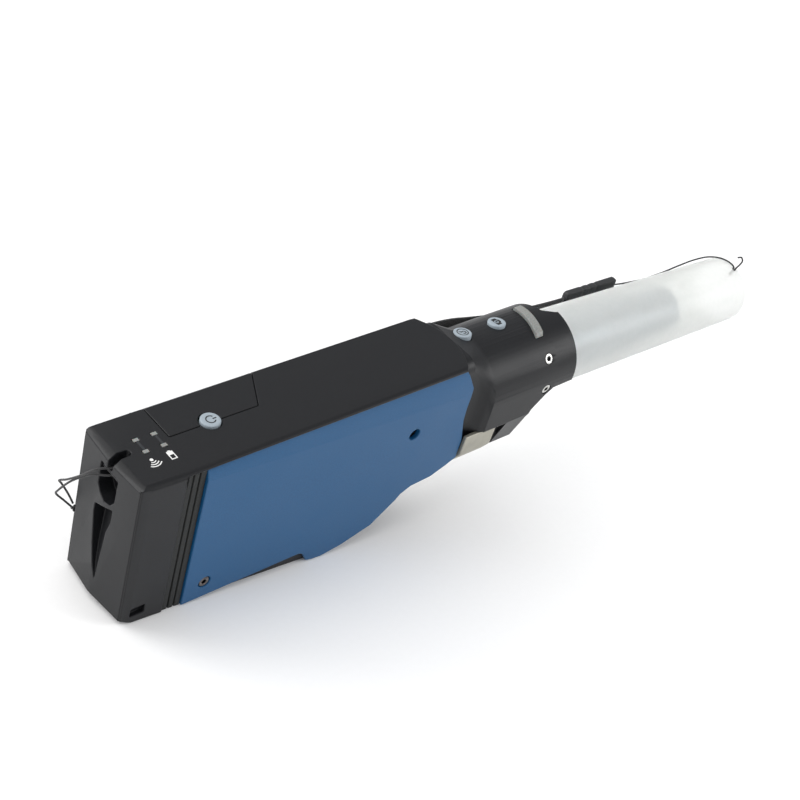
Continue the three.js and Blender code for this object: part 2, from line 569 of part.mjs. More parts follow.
function barrel() {
  const shell = turned([[BARREL_BORE, BARREL_REAR], [BARREL_NECK_R, BARREL_REAR],
    [BARREL_NECK_R, -6], [BARREL_R, -5], [BARREL_R, BARREL_STEP], [BARREL_NOSE_R, BARREL_STEP + 2],
    [BARREL_NOSE_R, BARREL_END], [BARREL_BORE, BARREL_END], [BARREL_BORE, BARREL_STEP],
    [BARREL_R - BARREL_WALL, BARREL_STEP - 3], [BARREL_R - BARREL_WALL, -2],
    [BARREL_BORE, -3.5], [BARREL_BORE, BARREL_REAR]]);
  return cut(shell, pinRoom(-30, 0, 1));
}

function sleeve() {
  const length = SLEEVE_OUT - SLEEVE_IN;
  const slope = (SLEEVE_R_OUT - SLEEVE_R_IN) / length;
  const r = (x) => SLEEVE_R_IN + slope * (x - SLEEVE_IN);
  const inside = (x) => r(x) - SLEEVE_WALL;
  const tip = SLEEVE_OUT;
  const shell = turned([[inside(SLEEVE_IN), SLEEVE_IN], [r(SLEEVE_IN) - 0.4, SLEEVE_IN],
    [r(SLEEVE_IN), SLEEVE_IN + 0.6], [r(tip), tip - 0.6], [r(tip) - 0.4, tip],
    [inside(tip), tip], [inside(SLEEVE_IN), SLEEVE_IN]], 56);
  const eyelet = new THREE.CylinderGeometry(TETHER_HOLE_R, TETHER_HOLE_R, 12, 14)
    .rotateX(Math.PI / 2).translate(0, 0, SLEEVE_R_OUT)
    .rotateX(TETHER_HOLE_ROLL * DEG).translate(tip - TETHER_HOLE_BACK, 0, 0);
  return cut(shell, solid(eyelet));
}
const TETHER_HOLE_R = 1.35;
const TETHER_HOLE_ROLL = 14.6;
const TETHER_HOLE_BACK = 3;

// ---------------------------------------------------------------- battery pack
function batteryTray() {
  const x0 = CELL_START - CELL_R - 1.3;
  const x1 = CELL_START + (CELL_COUNT - 1) * CELL_PITCH + CELL_R + 1.3;
  const y0 = CELL_Y - CELL_R - 1.2;
  const z1 = CELL_LOW + CELL_LENGTH + 1.4;
  return cut(block(x0, x1, y0, CELL_Y + 4, CELL_LOW - 1.7, z1),
    block(x0 + 1, x1 - 1, y0 + 0.9, 40, CELL_LOW - 0.7, z1 + 1),
    barZ(BUTTON_R + RUN, CELL_LOW + CELL_LENGTH - 2.6, 90, POWER_X, POWER_Y));
}

function cell(index) {
  const x = CELL_START + index * CELL_PITCH;
  const top = CELL_LOW + CELL_LENGTH;
  return unite(barZ(CELL_R, CELL_LOW, top - 1.2, x, CELL_Y, 28),
    barZ(3, top - 1.6, top, x, CELL_Y, 16));
}

// ---------------------------------------------------------------- tether
// Routes chosen by hand, in the body's frame.
const LOOP_ROUTE = [[1.6, 24.6, 29.4], [-2.4, 25.2, 34.6], [-7.4, 25, 41.4], [-8.2, 22.8, 45.4],
  [-6.4, 17.4, 54.6], [-5.2, 11.6, 61.6], [-3.6, 6, 67.2], [0.6, 1.6, 68.6], [3.2, 0.2, 69.6],
  [2.8, 0.4, 72.6], [0, 2.2, 72.6], [-4.2, 5.4, 70.6], [-6.4, 11.8, 62.6], [-7.6, 18.6, 55.2],
  [-7.6, 23.6, 50.4], [-5, 25.2, 46], [-1.2, 24.8, 38.6], [1.8, 24.6, 31.8]];
const WEB_ROUTE = [[5.2, 24.4, 27.6], [20, 24.2, 29], [60, 24.2, 36], [110, 24.3, 48],
  [150, 24.4, 57], [180, 24.6, 62.6], [204, 25, 63.6], [220, 25.7, 61.2], [236, 26.8, 56.6],
  [256, 27.2, 52], [276, 27, 49.4], [298, 26.4, 47.6], [314, 26.2, 46.6]];
const TIP_ROUTE = [[356.5, 25.4, 47.4], [366, 24.6, 46.4], [382, 23, 46], [398, 21.6, 47.4],
  [410, 20.2, 49.8], [419, 17.2, 53.6], [424.6, 12.6, 57.4], [427.2, 6.4, 60.2],
  [427.9, 1, 61.2], [427.9, -2.6, 61.1], [427.8, -4, 60.6], [427.76, -4.25, 59.4],
  [427.7, -3.85, 57.6]];
const TAIL_ROUTE = [[427.7, -4.9, 57.4], [427.8, -5.35, 59.4], [427.9, -5.9, 61.4],
  [428, -7, 64.5], [428, -7.4, 67.2], [428, -6, 68.6], [428, -3.9, 67.2]];

function path(points) {
  return new THREE.CatmullRomCurve3(points.map((p) => new THREE.Vector3(...p)), false,
    'centripetal');
}

// Sections along a route, with the section's second axis kept near z.
function sweep(points, section, steps) {
  const curve = path(points);
  const rings = [];
  for (let i = 0; i <= steps; i += 1) {
    const at = curve.getPointAt(i / steps);
    const ahead = curve.getTangentAt(i / steps);
    const side = new THREE.Vector3().crossVectors(new THREE.Vector3(0, 0, 1), ahead);
    if (side.lengthSq() < 0.01) side.set(0, 1, 0);
    side.normalize();
    const up = new THREE.Vector3().crossVectors(ahead, side);
    rings.push(section.map(([a, b]) => at.clone().addScaledVector(side, a)
      .addScaledVector(up, b).toArray()));
  }
  return rings;
}

// A round cord along a route.
const cord = (points, steps) => solid(new THREE.ExtrudeGeometry(new THREE.Shape(
  Array.from({ length: 8 }, (_, i) => new THREE.Vector2(CORD_R * Math.cos((i * Math.PI) / 4),
    CORD_R * Math.sin((i * Math.PI) / 4)))), { steps, extrudePath: path(points) }));

const WEB_HALF = 3.5;
const WEB_THICK = 0.6;
const flatSection = [[WEB_THICK, -WEB_HALF + 0.4], [WEB_THICK, WEB_HALF - 0.4],
  [WEB_THICK - 0.3, WEB_HALF], [-WEB_THICK + 0.3, WEB_HALF], [-WEB_THICK, WEB_HALF - 0.4],
  [-WEB_THICK, -WEB_HALF + 0.4], [-WEB_THICK + 0.3, -WEB_HALF], [WEB_THICK - 0.3, -WEB_HALF]];

// ---------------------------------------------------------------- assembly
const nose = cut(noseHousing(), ...noseCuts(), ...COLLAR_SCREWS.map(collarScrewHoles));

add('main_housing', mainHousing(), BLACK);
add('lower_housing', lowerHousing(), BLACK);
add('rear_gasket', rearGasket(), RUBBER);
add('right_side_panel', sidePanel(-1, PANEL_START), BLUE);
add('left_side_panel', sidePanel(1, DOOR_END + GAP), BLUE);
add('battery_door', batteryDoor(), BLACK);
add('nose_housing', nose, BLACK);

PIPES.forEach((pipe) => add(pipe[2], pipeBlock(pipe, 0, TOP_Z - 5, TOP_Z + 0.15), LIGHT_PIPE));
add('status_light', stripShape(0, COLLAR_R - 0.8, COLLAR_R + STRIP_PROUD, STRIP_RAMP), LIGHT_PIPE);

add('power_button', solid(keyCap(4.4).translate(POWER_X, POWER_Y, TOP_Z + 1)), GREY_KEY);
add('capture_button', solid(onCollar(keyCap(2), CAPTURE_X, COLLAR_R + BUTTON_PROUD)), GREY_KEY);
add('focus_button', solid(onCollar(keyCap(3), FOCUS_X, COLLAR_R + BUTTON_PROUD + 1)), GREY_KEY);
add('capture_switch', radial(3, COLLAR_R - 1.8, COLLAR_R - 1.4, CAPTURE_X, CONTROL_ROLL, 20), STEEL);
add('focus_switch', radial(2.6, 22.7, 23.1, FOCUS_X, CONTROL_ROLL, 20), STEEL);

add('focus_slide', focusSlide(), SATIN_STEEL);
add('tether_bar', barY(1.1, -CHANNEL_HALF + 0.1, CHANNEL_HALF - 0.1, 1.4, 70.9, 16), STEEL);
COLLAR_SCREWS.forEach((spot, i) => add(`collar_screw_${i + 1}`, collarScrew(spot), STEEL));
add('right_rear_screw', sideScrew(FOOT_SCREW, -1, FOOT_SEAT), STEEL);
add('right_front_screw', sideScrew(DEEP_SCREW, -1, DEEP_SEAT), STEEL);
add('left_front_screw', sideScrew(DEEP_SCREW, 1, DEEP_SEAT), STEEL);

// Inside the body
add('battery_tray', batteryTray(), NYLON);
for (let i = 0; i < CELL_COUNT; i += 1) add(`battery_cell_${i + 1}`, cell(i), CELL_WRAP);
const contact = (z) => block(CELL_START - 6, CELL_START + (CELL_COUNT - 1) * CELL_PITCH + 6,
  CELL_Y - 2, CELL_Y + 2, z, z + 0.3);
add('lower_contact', contact(CELL_LOW - 0.5), STEEL);
add('upper_contact', contact(CELL_LOW + CELL_LENGTH + 0.2), STEEL);
add('chassis_plate', block(34, 119, -1.8, -0.2, -1, 70), STEEL);
add('main_board', block(36, 150, -10, -8.4, 0.5, 70), BOARD);
add('radio_module', block(40, 58, -13.4, -10.3, 50, 66), STEEL);
add('status_board', block(HEEL_HOLLOW + 0.6, 27.4, -9, 8.6, 71.4, 73), BOARD);
add('power_switch', block(POWER_X - 1.8, POWER_X + 1.8, POWER_Y - 1.8,
  POWER_Y + 1.8, 73.4, 75.6), STEEL);
add('sensor_board', block(182.4, 184, -13, 13, NOSE_Z - 13, NOSE_Z + 13), BOARD);

// Optics, about their own axis
add('optical_barrel', barrel(), ANODISED, optics);
add('barrel_clamp', cut(tubeX(PASSAGE_R - 1, BARREL_NECK_R + GAP, -13.4, -8.6, 36),
  pinRoom(-30, 0, 0.6)), ANODISED, optics);
add('lens_carriage', cut(tubeX(11.4, 8.2, -16, -4, 36), block(PIN_X - OPTICS_X - PIN_R - 1,
  PIN_X - OPTICS_X + PIN_R + 0.4, -PIN_R - 0.4, PIN_R + 0.4, -30, -7)), ANODISED, optics);
add('focus_lens', turned([[0, -13.2], [4, -12.9], [7.9, -11.4], [7.9, -9.4], [4, -7.9],
  [0, -7.6]], 32), GLASS, optics);
add('illumination_ring', tubeX(BARREL_BORE - GAP, 8.6, 139, 141.4, 36), BOARD, optics);
add('front_lens', turned([[0, 142], [11.8, 142], [11.8, 145.2], [7, 146.6], [0, 147]], 36), GLASS,
  optics);
add('barrel_tip', tubeX(BARREL_NOSE_R - 0.4, 10.4, BARREL_END + GAP, BARREL_END + 2.6, 40), ANODISED,
  optics);
add('protective_sleeve', sleeve(), MILKY, optics);
add('sleeve_seal', solid(new THREE.TorusGeometry(21.95, 0.6, 6, 36).rotateY(Math.PI / 2)
  .translate(4, 0, 0)), RUBBER, optics);

// Tether
add('heel_loop', cord(LOOP_ROUTE, 52), WEBBING);
add('heel_knot', solid(new THREE.SphereGeometry(1.7, 14, 10).scale(1.1, 0.8, 1)
  .translate(2.9, 24.6, 28.2)), WEBBING);
add('tether_webbing', loft(sweep(WEB_ROUTE, flatSection, 46)), WEBBING);
add('tether_clamp', loft(sweep([[314.5, 26.2, 48.2], [334, 26, 47.7], [355.9, 25.4, 47.6]],
  [[1.9, -4.6], [1.9, 4.6], [1.2, 5.4], [-1.2, 5.4], [-1.9, 4.6], [-1.9, -4.6], [-1.2, -5.4],
    [1.2, -5.4]], 6)), NYLON);
add('tip_cord', cord(TIP_ROUTE, 44), WEBBING);
add('tip_tail', cord(TAIL_ROUTE, 16), WEBBING);
add('tip_knot', solid(new THREE.SphereGeometry(1.4, 12, 8).translate(427.6, -3.8, 55.5)), WEBBING);

optics.position.set(OPTICS_X, 0, NOSE_Z);
optics.rotation.y = OPTICS_DROOP;
body.add(optics);
body.rotation.y = -PITCH;
body.position.z = -HEEL_Z * Math.cos(PITCH);

// The finished part is centred on its footprint, tether left out.
const probe = new THREE.Group();
probe.add(body);
probe.updateMatrixWorld(true);
const tether = /^(heel_|tether_web|tether_clamp|tip_)/;
const footprint = new THREE.Box3();
body.traverse((item) => {
  if (item.isMesh && !tether.test(item.name)) footprint.expandByObject(item, true);
});
body.position.x -= (footprint.min.x + footprint.max.x) / 2;
probe.updateMatrixWorld(true);

export default probe;
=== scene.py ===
import math

import bmesh
import bpy
from mathutils import Matrix, Vector


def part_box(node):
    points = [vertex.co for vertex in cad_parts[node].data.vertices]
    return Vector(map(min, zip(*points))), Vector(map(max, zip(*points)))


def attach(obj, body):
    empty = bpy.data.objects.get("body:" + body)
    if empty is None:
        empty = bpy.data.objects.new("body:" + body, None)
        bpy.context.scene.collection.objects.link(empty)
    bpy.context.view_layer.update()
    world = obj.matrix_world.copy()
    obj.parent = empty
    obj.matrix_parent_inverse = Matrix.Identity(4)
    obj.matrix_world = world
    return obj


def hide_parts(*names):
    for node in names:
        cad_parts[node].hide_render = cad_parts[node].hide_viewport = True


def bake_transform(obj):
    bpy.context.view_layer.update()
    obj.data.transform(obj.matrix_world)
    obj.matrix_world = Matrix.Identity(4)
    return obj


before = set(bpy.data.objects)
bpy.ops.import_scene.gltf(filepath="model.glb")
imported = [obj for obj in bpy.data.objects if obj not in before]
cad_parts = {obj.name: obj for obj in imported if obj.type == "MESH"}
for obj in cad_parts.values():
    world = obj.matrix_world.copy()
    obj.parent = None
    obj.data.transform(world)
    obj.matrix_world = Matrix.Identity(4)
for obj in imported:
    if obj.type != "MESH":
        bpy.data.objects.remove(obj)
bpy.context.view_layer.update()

# ---- Bench, light and camera -------------------------------------------------------------
# A pale matt board under the probe, lit as a small product is: a broad overhead tent, a
# panel behind the heel and a larger one across the nose, so that shadows stay soft.


def colour(code):
    """An sRGB hex value as linear light."""
    parts = [int(code[i:i + 2], 16) / 255 for i in (0, 2, 4)]
    return [c / 12.92 if c <= 0.04045 else ((c + 0.055) / 1.055) ** 2.4 for c in parts] + [1]


def add(tree, kind, inputs=None, **settings):
    """Adds one node; an input is given a value, or a socket to link from."""
    made = tree.nodes.new(kind)
    for name, value in settings.items():
        setattr(made, name, value)
    for name, value in (inputs or {}).items():
        if isinstance(value, bpy.types.NodeSocket):
            tree.links.new(value, made.inputs[name])
        else:
            made.inputs[name].default_value = value
    return made


def started(name):
    """An empty material, its node tree, and the object's own coordinates in metres."""
    made = bpy.data.materials.new(name)
    made.use_nodes = True
    made.node_tree.nodes.clear()
    return made, made.node_tree, add(made.node_tree, "ShaderNodeTexCoord").outputs["Object"]


def surfaced(tree, **inputs):
    """Closes a material with one principled surface; socket names take _ for a space."""
    named = {key.replace("_", " "): value for key, value in inputs.items()}
    shader = add(tree, "ShaderNodeBsdfPrincipled", named)
    add(tree, "ShaderNodeOutputMaterial", {"Surface": shader.outputs[0]})


def per_mm(size):
    """The scale of a noise whose features are this many millimetres apart."""
    return 1000 / size


def blended(tree, factor, stops):
    """A ramp from one colour to another as a factor rises."""
    ramp = add(tree, "ShaderNodeValToRGB", {"Fac": factor})
    while len(ramp.color_ramp.elements) < len(stops):
        ramp.color_ramp.elements.new(0.5)
    for element, (place, code) in zip(ramp.color_ramp.elements, stops):
        element.position = place
        element.color = colour(code)
    return ramp.outputs["Color"]


def shown(name, mesh):
    made = bpy.data.objects.new(name, mesh)
    bpy.context.scene.collection.objects.link(made)
    return made


painted_board, tree, place = started("painted_board")
speck = add(tree, "ShaderNodeTexNoise", {"Vector": place, "Scale": per_mm(3), "Detail": 2.0})
surfaced(tree, Base_Color=blended(tree, speck.outputs["Fac"], [(0.2, "fafafa"), (0.8, "fcfcfc")]),
         Roughness=0.8)
board_reach, board_drop = 6, 0.0002
board = bpy.data.meshes.new("bench")
board.from_pydata([(x * board_reach, y * board_reach, -board_drop)
                   for x, y in ((-1, -1), (1, -1), (1, 1), (-1, 1))], [], [(0, 1, 2, 3)])
board.materials.append(painted_board)
shown("bench", board)

sky = bpy.data.worlds.new("studio")
bpy.context.scene.world = sky
sky.use_nodes = True
sky.node_tree.nodes["Background"].inputs["Color"].default_value = colour("fbfcff")
sky.node_tree.nodes["Background"].inputs["Strength"].default_value = 0.5


def lit(name, kind, place, target, power, **settings):
    """A lamp that looks from its place at a target."""
    lamp = bpy.data.lights.new(name, kind)
    lamp.energy = power
    for key, value in settings.items():
        setattr(lamp, key, value)
    holder = bpy.data.objects.new(name, lamp)
    bpy.context.scene.collection.objects.link(holder)
    holder.location = place
    holder.rotation_euler = (Vector(target) - Vector(place)).to_track_quat("-Z", "Y").to_euler()


lit("overhead_tent", "SUN", (-0.55, 0.45, 1.0), (0, 0, 0), 2.1, angle=math.radians(85),
    color=colour("fffefc")[:3])
lit("heel_panel", "AREA", (-0.9, 0.75, 0.45), (-0.18, 0, 0.04), 5.0, size=0.6)
lit("nose_panel", "AREA", (1.0, -0.85, 0.72), (0.02, 0, 0.08), 7.5, size=0.7)

lens = bpy.data.cameras.new("camera")
lens.lens = 68.05
camera = bpy.data.objects.new("camera", lens)
camera.location = (-0.54975, -0.35936, 0.46831)
camera.rotation_euler = [math.radians(turn) for turn in (55.2082, -18.4067, -42.1396)]
bpy.context.scene.collection.objects.link(camera)
bpy.context.scene.camera = camera
bpy.context.scene.view_settings.view_transform = "Standard"

# ---- Body frame --------------------------------------------------------------------------
# The body stands on a sloping base, so its top face rises 6.5 degrees towards the nose.
# Pieces are drawn in millimetres in the body's own frame, level with the top face, and the
# tether's bar, 1.4 mm in front of the heel line and 70.9 mm up, says where that frame is.
pitch = -6.5
bar_place = Vector((1.4, 0, 70.9))
low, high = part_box("tether_bar")
bar_centre = (low + high) / 2 * 1000
level = Matrix.Rotation(math.radians(pitch), 4, "Y")
start = bar_centre - level @ bar_place
body_frame = Matrix.Scale(0.001, 4) @ Matrix.Translation((start.x, 0, start.z)) @ level
to_body = body_frame.inverted()
# The optics droop a little from the collar's axis, from a point 222 mm along it.
optics_x, collar_z, droop = 222, 49.5, 2.34
optics_frame = body_frame @ Matrix.Translation((optics_x, 0, collar_z)) @ Matrix.Rotation(
    math.radians(droop), 4, "Y")


# ---- Tether ------------------------------------------------------------------------------
# A flat elastic webbing that keeps the sleeve on the probe: a braided loop ties it to the
# bar in the heel, and a nylon clamp crimps it to a thin cord knotted through the sleeve.


def route(points, steps, parts=24):
    """A centripetal Catmull-Rom curve through points, at equal steps along its length."""
    spots = [Vector(p) for p in points]
    spots = [2 * spots[0] - spots[1], *spots, 2 * spots[-1] - spots[-2]]
    fine = []
    for i in range(1, len(spots) - 2):
        p0, p1, p2, p3 = spots[i - 1:i + 3]
        t1 = (p1 - p0).length ** 0.5
        t2 = t1 + (p2 - p1).length ** 0.5
        t3 = t2 + (p3 - p2).length ** 0.5
        for j in range(parts):
            t = t1 + (t2 - t1) * j / parts
            a1 = p0 * ((t1 - t) / t1) + p1 * (t / t1)
            a2 = p1 * ((t2 - t) / (t2 - t1)) + p2 * ((t - t1) / (t2 - t1))
            a3 = p2 * ((t3 - t) / (t3 - t2)) + p3 * ((t - t2) / (t3 - t2))
            b1 = a1 * ((t2 - t) / t2) + a2 * (t / t2)
            b2 = a2 * ((t3 - t) / (t3 - t1)) + a3 * ((t - t1) / (t3 - t1))
            fine.append(b1 * ((t2 - t) / (t2 - t1)) + b2 * ((t - t1) / (t2 - t1)))
    fine.append(spots[-2])
    along = [0]
    for a, b in zip(fine, fine[1:]):
        along.append(along[-1] + (b - a).length)
    even, k = [], 0
    for i in range(steps + 1):
        goal = along[-1] * i / steps
        while k < len(fine) - 2 and along[k + 1] < goal:
            k += 1
        span = along[k + 1] - along[k]
        even.append(fine[k].lerp(fine[k + 1], min(1, (goal - along[k]) / span)))
    return even


def swept(name, line, section, upright=False, taper=None):
    """A closed skin along a line of body points; its UVs are millimetres along and round."""
    form = bmesh.new()
    uv = form.loops.layers.uv.new("mm")
    count = len(section)
    rim = [0]
    for (a, b), (c, d) in zip(section, section[1:] + section[:1]):
        rim.append(rim[-1] + math.hypot(c - a, d - b))
    rings, along, side = [], [0], None
    for i, at in enumerate(line):
        ahead = (line[min(i + 1, len(line) - 1)] - line[max(i - 1, 0)]).normalized()
        if upright or side is None:
            side = Vector((0, 0, 1)).cross(ahead)
            side = side if side.length > 0.1 else Vector((0, 1, 0))
        side = (side - ahead * side.dot(ahead)).normalized()
        up = ahead.cross(side)
        scale = taper(i / (len(line) - 1)) if taper else 1
        rings.append([form.verts.new(body_frame @ (at + side * a * scale + up * b * scale))
                      for a, b in section])
        if i:
            along.append(along[-1] + (at - line[i - 1]).length)
    for i in range(len(rings) - 1):
        for j in range(count):
            k = (j + 1) % count
            face = form.faces.new((rings[i][j], rings[i][k], rings[i + 1][k], rings[i + 1][j]))
            face.smooth = True
            for loop, (u, v) in zip(face.loops, ((i, j), (i, j + 1), (i + 1, j + 1), (i + 1, j))):
                loop[uv].uv = (along[u], rim[v])
    form.faces.new(rings[0][::-1])
    form.faces.new(rings[-1])
    bmesh.ops.recalc_face_normals(form, faces=form.faces)
    mesh = bpy.data.meshes.new(name)
    form.to_mesh(mesh)
    form.free()
    return mesh


# Polyester webbing: matt near-black yarn, warp ribs 0.9 mm apart crossed by weft every
# 1.1 mm, both drawn a little coarser than the real weave so that they show.
woven_webbing, tree, _ = started("woven_polyester_webbing")
flat = add(tree, "ShaderNodeUVMap", uv_map="mm").outputs["UV"]
warp = add(tree, "ShaderNodeTexWave", {"Vector": flat, "Scale": 0.35, "Distortion": 0.6},
           bands_direction="Y")
weft = add(tree, "ShaderNodeTexWave", {"Vector": flat, "Scale": 0.29, "Distortion": 0.8},
           bands_direction="X")
weave = add(tree, "ShaderNodeMath", {0: warp.outputs["Fac"], 1: weft.outputs["Fac"]},
            operation="MULTIPLY").outputs[0]
bump = add(tree, "ShaderNodeBump", {"Height": weave, "Strength": 0.8, "Distance": 0.00025})
surfaced(tree, Base_Color=blended(tree, weave, [(0.0, "0e0e0f"), (1.0, "2b2b2d")]),
         Roughness=0.85, Sheen_Weight=0.25, Sheen_Roughness=0.5, Normal=bump.outputs["Normal"])

web_route = [(5.2, 24.4, 27.6), (20, 24.2, 29), (60, 24.2, 36), (110, 24.3, 48),
             (150, 24.4, 57), (180, 24.6, 62.6), (204, 25, 63.6), (220, 25.7, 61.2),
             (236, 26.8, 56.6), (256, 27.2, 52), (276, 27, 49.4), (298, 26.4, 47.6),
             (314, 26.2, 46.6)]
web_section = [(0.6, -3.1), (0.6, 3.1), (0.48, 3.35), (0.2, 3.48), (-0.2, 3.48), (-0.48, 3.35),
               (-0.6, 3.1), (-0.6, -3.1), (-0.48, -3.35), (-0.2, -3.48), (0.2, -3.48),
               (0.48, -3.35)]
web_line = route(web_route, 160)
webbing = shown("tether_webbing_woven", swept("tether_webbing_woven", web_line, web_section,
                                              upright=True))
webbing.data.materials.append(woven_webbing)
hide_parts("tether_webbing")

# Glass-filled nylon: dull black, with a faint moulded mottle about 0.6 mm across.
moulded_nylon, tree, place = started("moulded_nylon")
mottle = add(tree, "ShaderNodeTexNoise", {"Vector": place, "Scale": per_mm(0.6), "Detail": 3.0})
bump = add(tree, "ShaderNodeBump", {"Height": mottle.outputs["Fac"], "Strength": 0.25,
                                    "Distance": 0.0001})
surfaced(tree, Base_Color=blended(tree, mottle.outputs["Fac"], [(0.3, "202123"), (0.7, "2c2d2f")]),
         Roughness=0.55, Normal=bump.outputs["Normal"])

clamp_line = route([(314.5, 26.2, 48.2), (334, 26, 47.7), (355.9, 25.4, 47.6)], 60)
clamp_section = [(1.9, -4.5), (1.9, 4.5), (1.6, 5.1), (1.0, 5.38), (-1.0, 5.38), (-1.6, 5.1),
                 (-1.9, 4.5), (-1.9, -4.5), (-1.6, -5.1), (-1.0, -5.38), (1.0, -5.38),
                 (1.6, -5.1)]


def clamp_shape(t, drawn_in=0.14, end_run=0.03, crimp=0.06, crimp_start=0.3, crimp_end=0.7,
                crimp_run=0.4, crimps=3):
    """Drawn in at both ends, with shallow crimps across the middle."""
    end = min(1, 0.86 + drawn_in * min(t, 1 - t) / end_run)
    if not crimp_start < t < crimp_end:
        return end
    return end - max(0, crimp * math.sin((t - crimp_start) / crimp_run * 2 * crimps * math.pi))


clamp = shown("tether_clamp_crimped", swept("tether_clamp_crimped", clamp_line, clamp_section,
                                            upright=True, taper=clamp_shape))
clamp.data.materials.append(moulded_nylon)
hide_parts("tether_clamp")
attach(clamp, "sleeve")

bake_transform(webbing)

# Braided nylon cord, 0.96 mm thick: black, with its strands' diagonals drawn 0.5 mm apart.
braided_cord, tree, _ = started("braided_nylon_cord")
flat = add(tree, "ShaderNodeUVMap", uv_map="mm").outputs["UV"]
strands = [add(tree, "ShaderNodeTexWave", {"Vector": add(
    tree, "ShaderNodeMapping", {"Vector": flat, "Rotation": (0, 0, math.radians(turn))}
).outputs[0], "Scale": 0.6}).outputs["Fac"] for turn in (40, -40)]
braid = add(tree, "ShaderNodeMath", {0: strands[0], 1: strands[1]}, operation="MAXIMUM").outputs[0]
bump = add(tree, "ShaderNodeBump", {"Height": braid, "Strength": 0.6, "Distance": 0.0001})
surfaced(tree, Base_Color=blended(tree, braid, [(0.2, "111112"), (1.0, "2e2e30")]),
         Roughness=0.7, Sheen_Weight=0.2, Normal=bump.outputs["Normal"])

cord_radius = 0.48
cord_sides = 12
cord_section = [(cord_radius * math.cos(a * math.tau / cord_sides),
                 cord_radius * math.sin(a * math.tau / cord_sides)) for a in range(cord_sides)]
loop_route = [(1.6, 24.6, 29.4), (-2.4, 25.2, 34.6), (-7.4, 25, 41.4), (-8.2, 22.8, 45.4),
              (-6.4, 17.4, 54.6), (-5.2, 11.6, 61.6), (-3.6, 6, 67.2), (0.6, 1.6, 68.6),
              (3.2, 0.2, 69.6), (2.8, 0.4, 72.6), (0, 2.2, 72.6), (-4.2, 5.4, 70.6),
              (-6.4, 11.8, 62.6), (-7.6, 18.6, 55.2), (-7.6, 23.6, 50.4), (-5, 25.2, 46),
              (-1.2, 24.8, 38.6), (1.8, 24.6, 31.8)]
tip_route = [(356.5, 25.4, 47.4), (366, 24.6, 46.4), (382, 23, 46), (398, 21.6, 47.4),
             (410, 20.2, 49.8), (419, 17.2, 53.6), (424.6, 12.6, 57.4), (427.2, 6.4, 60.2),
             (427.9, 1, 61.2), (427.9, -2.6, 61.1), (427.8, -4, 60.6), (427.76, -4.25, 59.4),
             (427.7, -3.85, 57.6)]
tail_route = [(427.7, -4.9, 57.4), (427.8, -5.35, 59.4), (427.9, -5.9, 61.4), (428, -7, 64.5),
              (428, -7.4, 67.2), (428, -6, 68.6), (428, -3.9, 67.2)]


def corded(name, points, steps, node, body):
    """A length of the thin cord, as a skin, with the line that it follows."""
    line = route(points, steps)
    piece = shown(name, swept(name, line, cord_section))
    piece.data.materials.append(braided_cord)
    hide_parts(node)
    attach(piece, body)
    return piece, [body_frame @ p for p in line]


def knotted(name, centre, radius, node, body, flat=0.34, thick=0.45):
    """An overhand knot pulled tight: a trefoil of the same cord."""
    turns, steps = [], 48
    reach = radius - cord_radius
    for i in range(steps + 1):
        t = i / steps * 2 * math.pi
        turns.append(Vector(centre) + Vector((
            reach * flat * (math.sin(t) + 2 * math.sin(2 * t)),
            -reach * thick * math.sin(3 * t),
            reach * flat * (math.cos(t) - 2 * math.cos(2 * t)))))
    piece = shown(name, swept(name, turns, cord_section))
    piece.data.materials.append(braided_cord)
    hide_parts(node)
    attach(piece, body)
    return piece


heel_knot = knotted("heel_knot_tied", (2.9, 24.6, 28.2), 1.7, "heel_knot", "housing")
heel_loop, line = corded("heel_loop_braided", loop_route, 120, "heel_loop", "housing")
tip_tail, line = corded("tip_tail_braided", tail_route, 40, "tip_tail", "sleeve")
tip_knot = knotted("tip_knot_tied", (427.6, -3.8, 55.5), 1.4, "tip_knot", "sleeve")
tip_cord, line = corded("tip_cord_braided", tip_route, 120, "tip_cord", "sleeve")

# Stainless steel: neutral grey metal, its turned finish broken up at about 0.5 mm.
turned_steel, tree, place = started("turned_stainless_steel")
marks = add(tree, "ShaderNodeTexNoise", {"Vector": place, "Scale": per_mm(0.5), "Detail": 4.0})
bump = add(tree, "ShaderNodeBump", {"Height": marks.outputs["Fac"], "Strength": 0.15,
                                    "Distance": 0.00005})
surfaced(tree, Base_Color=blended(tree, marks.outputs["Fac"], [(0.3, "b9b9b6"), (0.7, "d2d2ce")]),
         Metallic=1.0, Roughness=0.26, Normal=bump.outputs["Normal"])


def finished(node, finish):
    """A CAD node that keeps its shape, in its real finish."""
    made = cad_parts[node]
    for place in made.material_slots:
        place.link = "OBJECT"
        place.material = finish


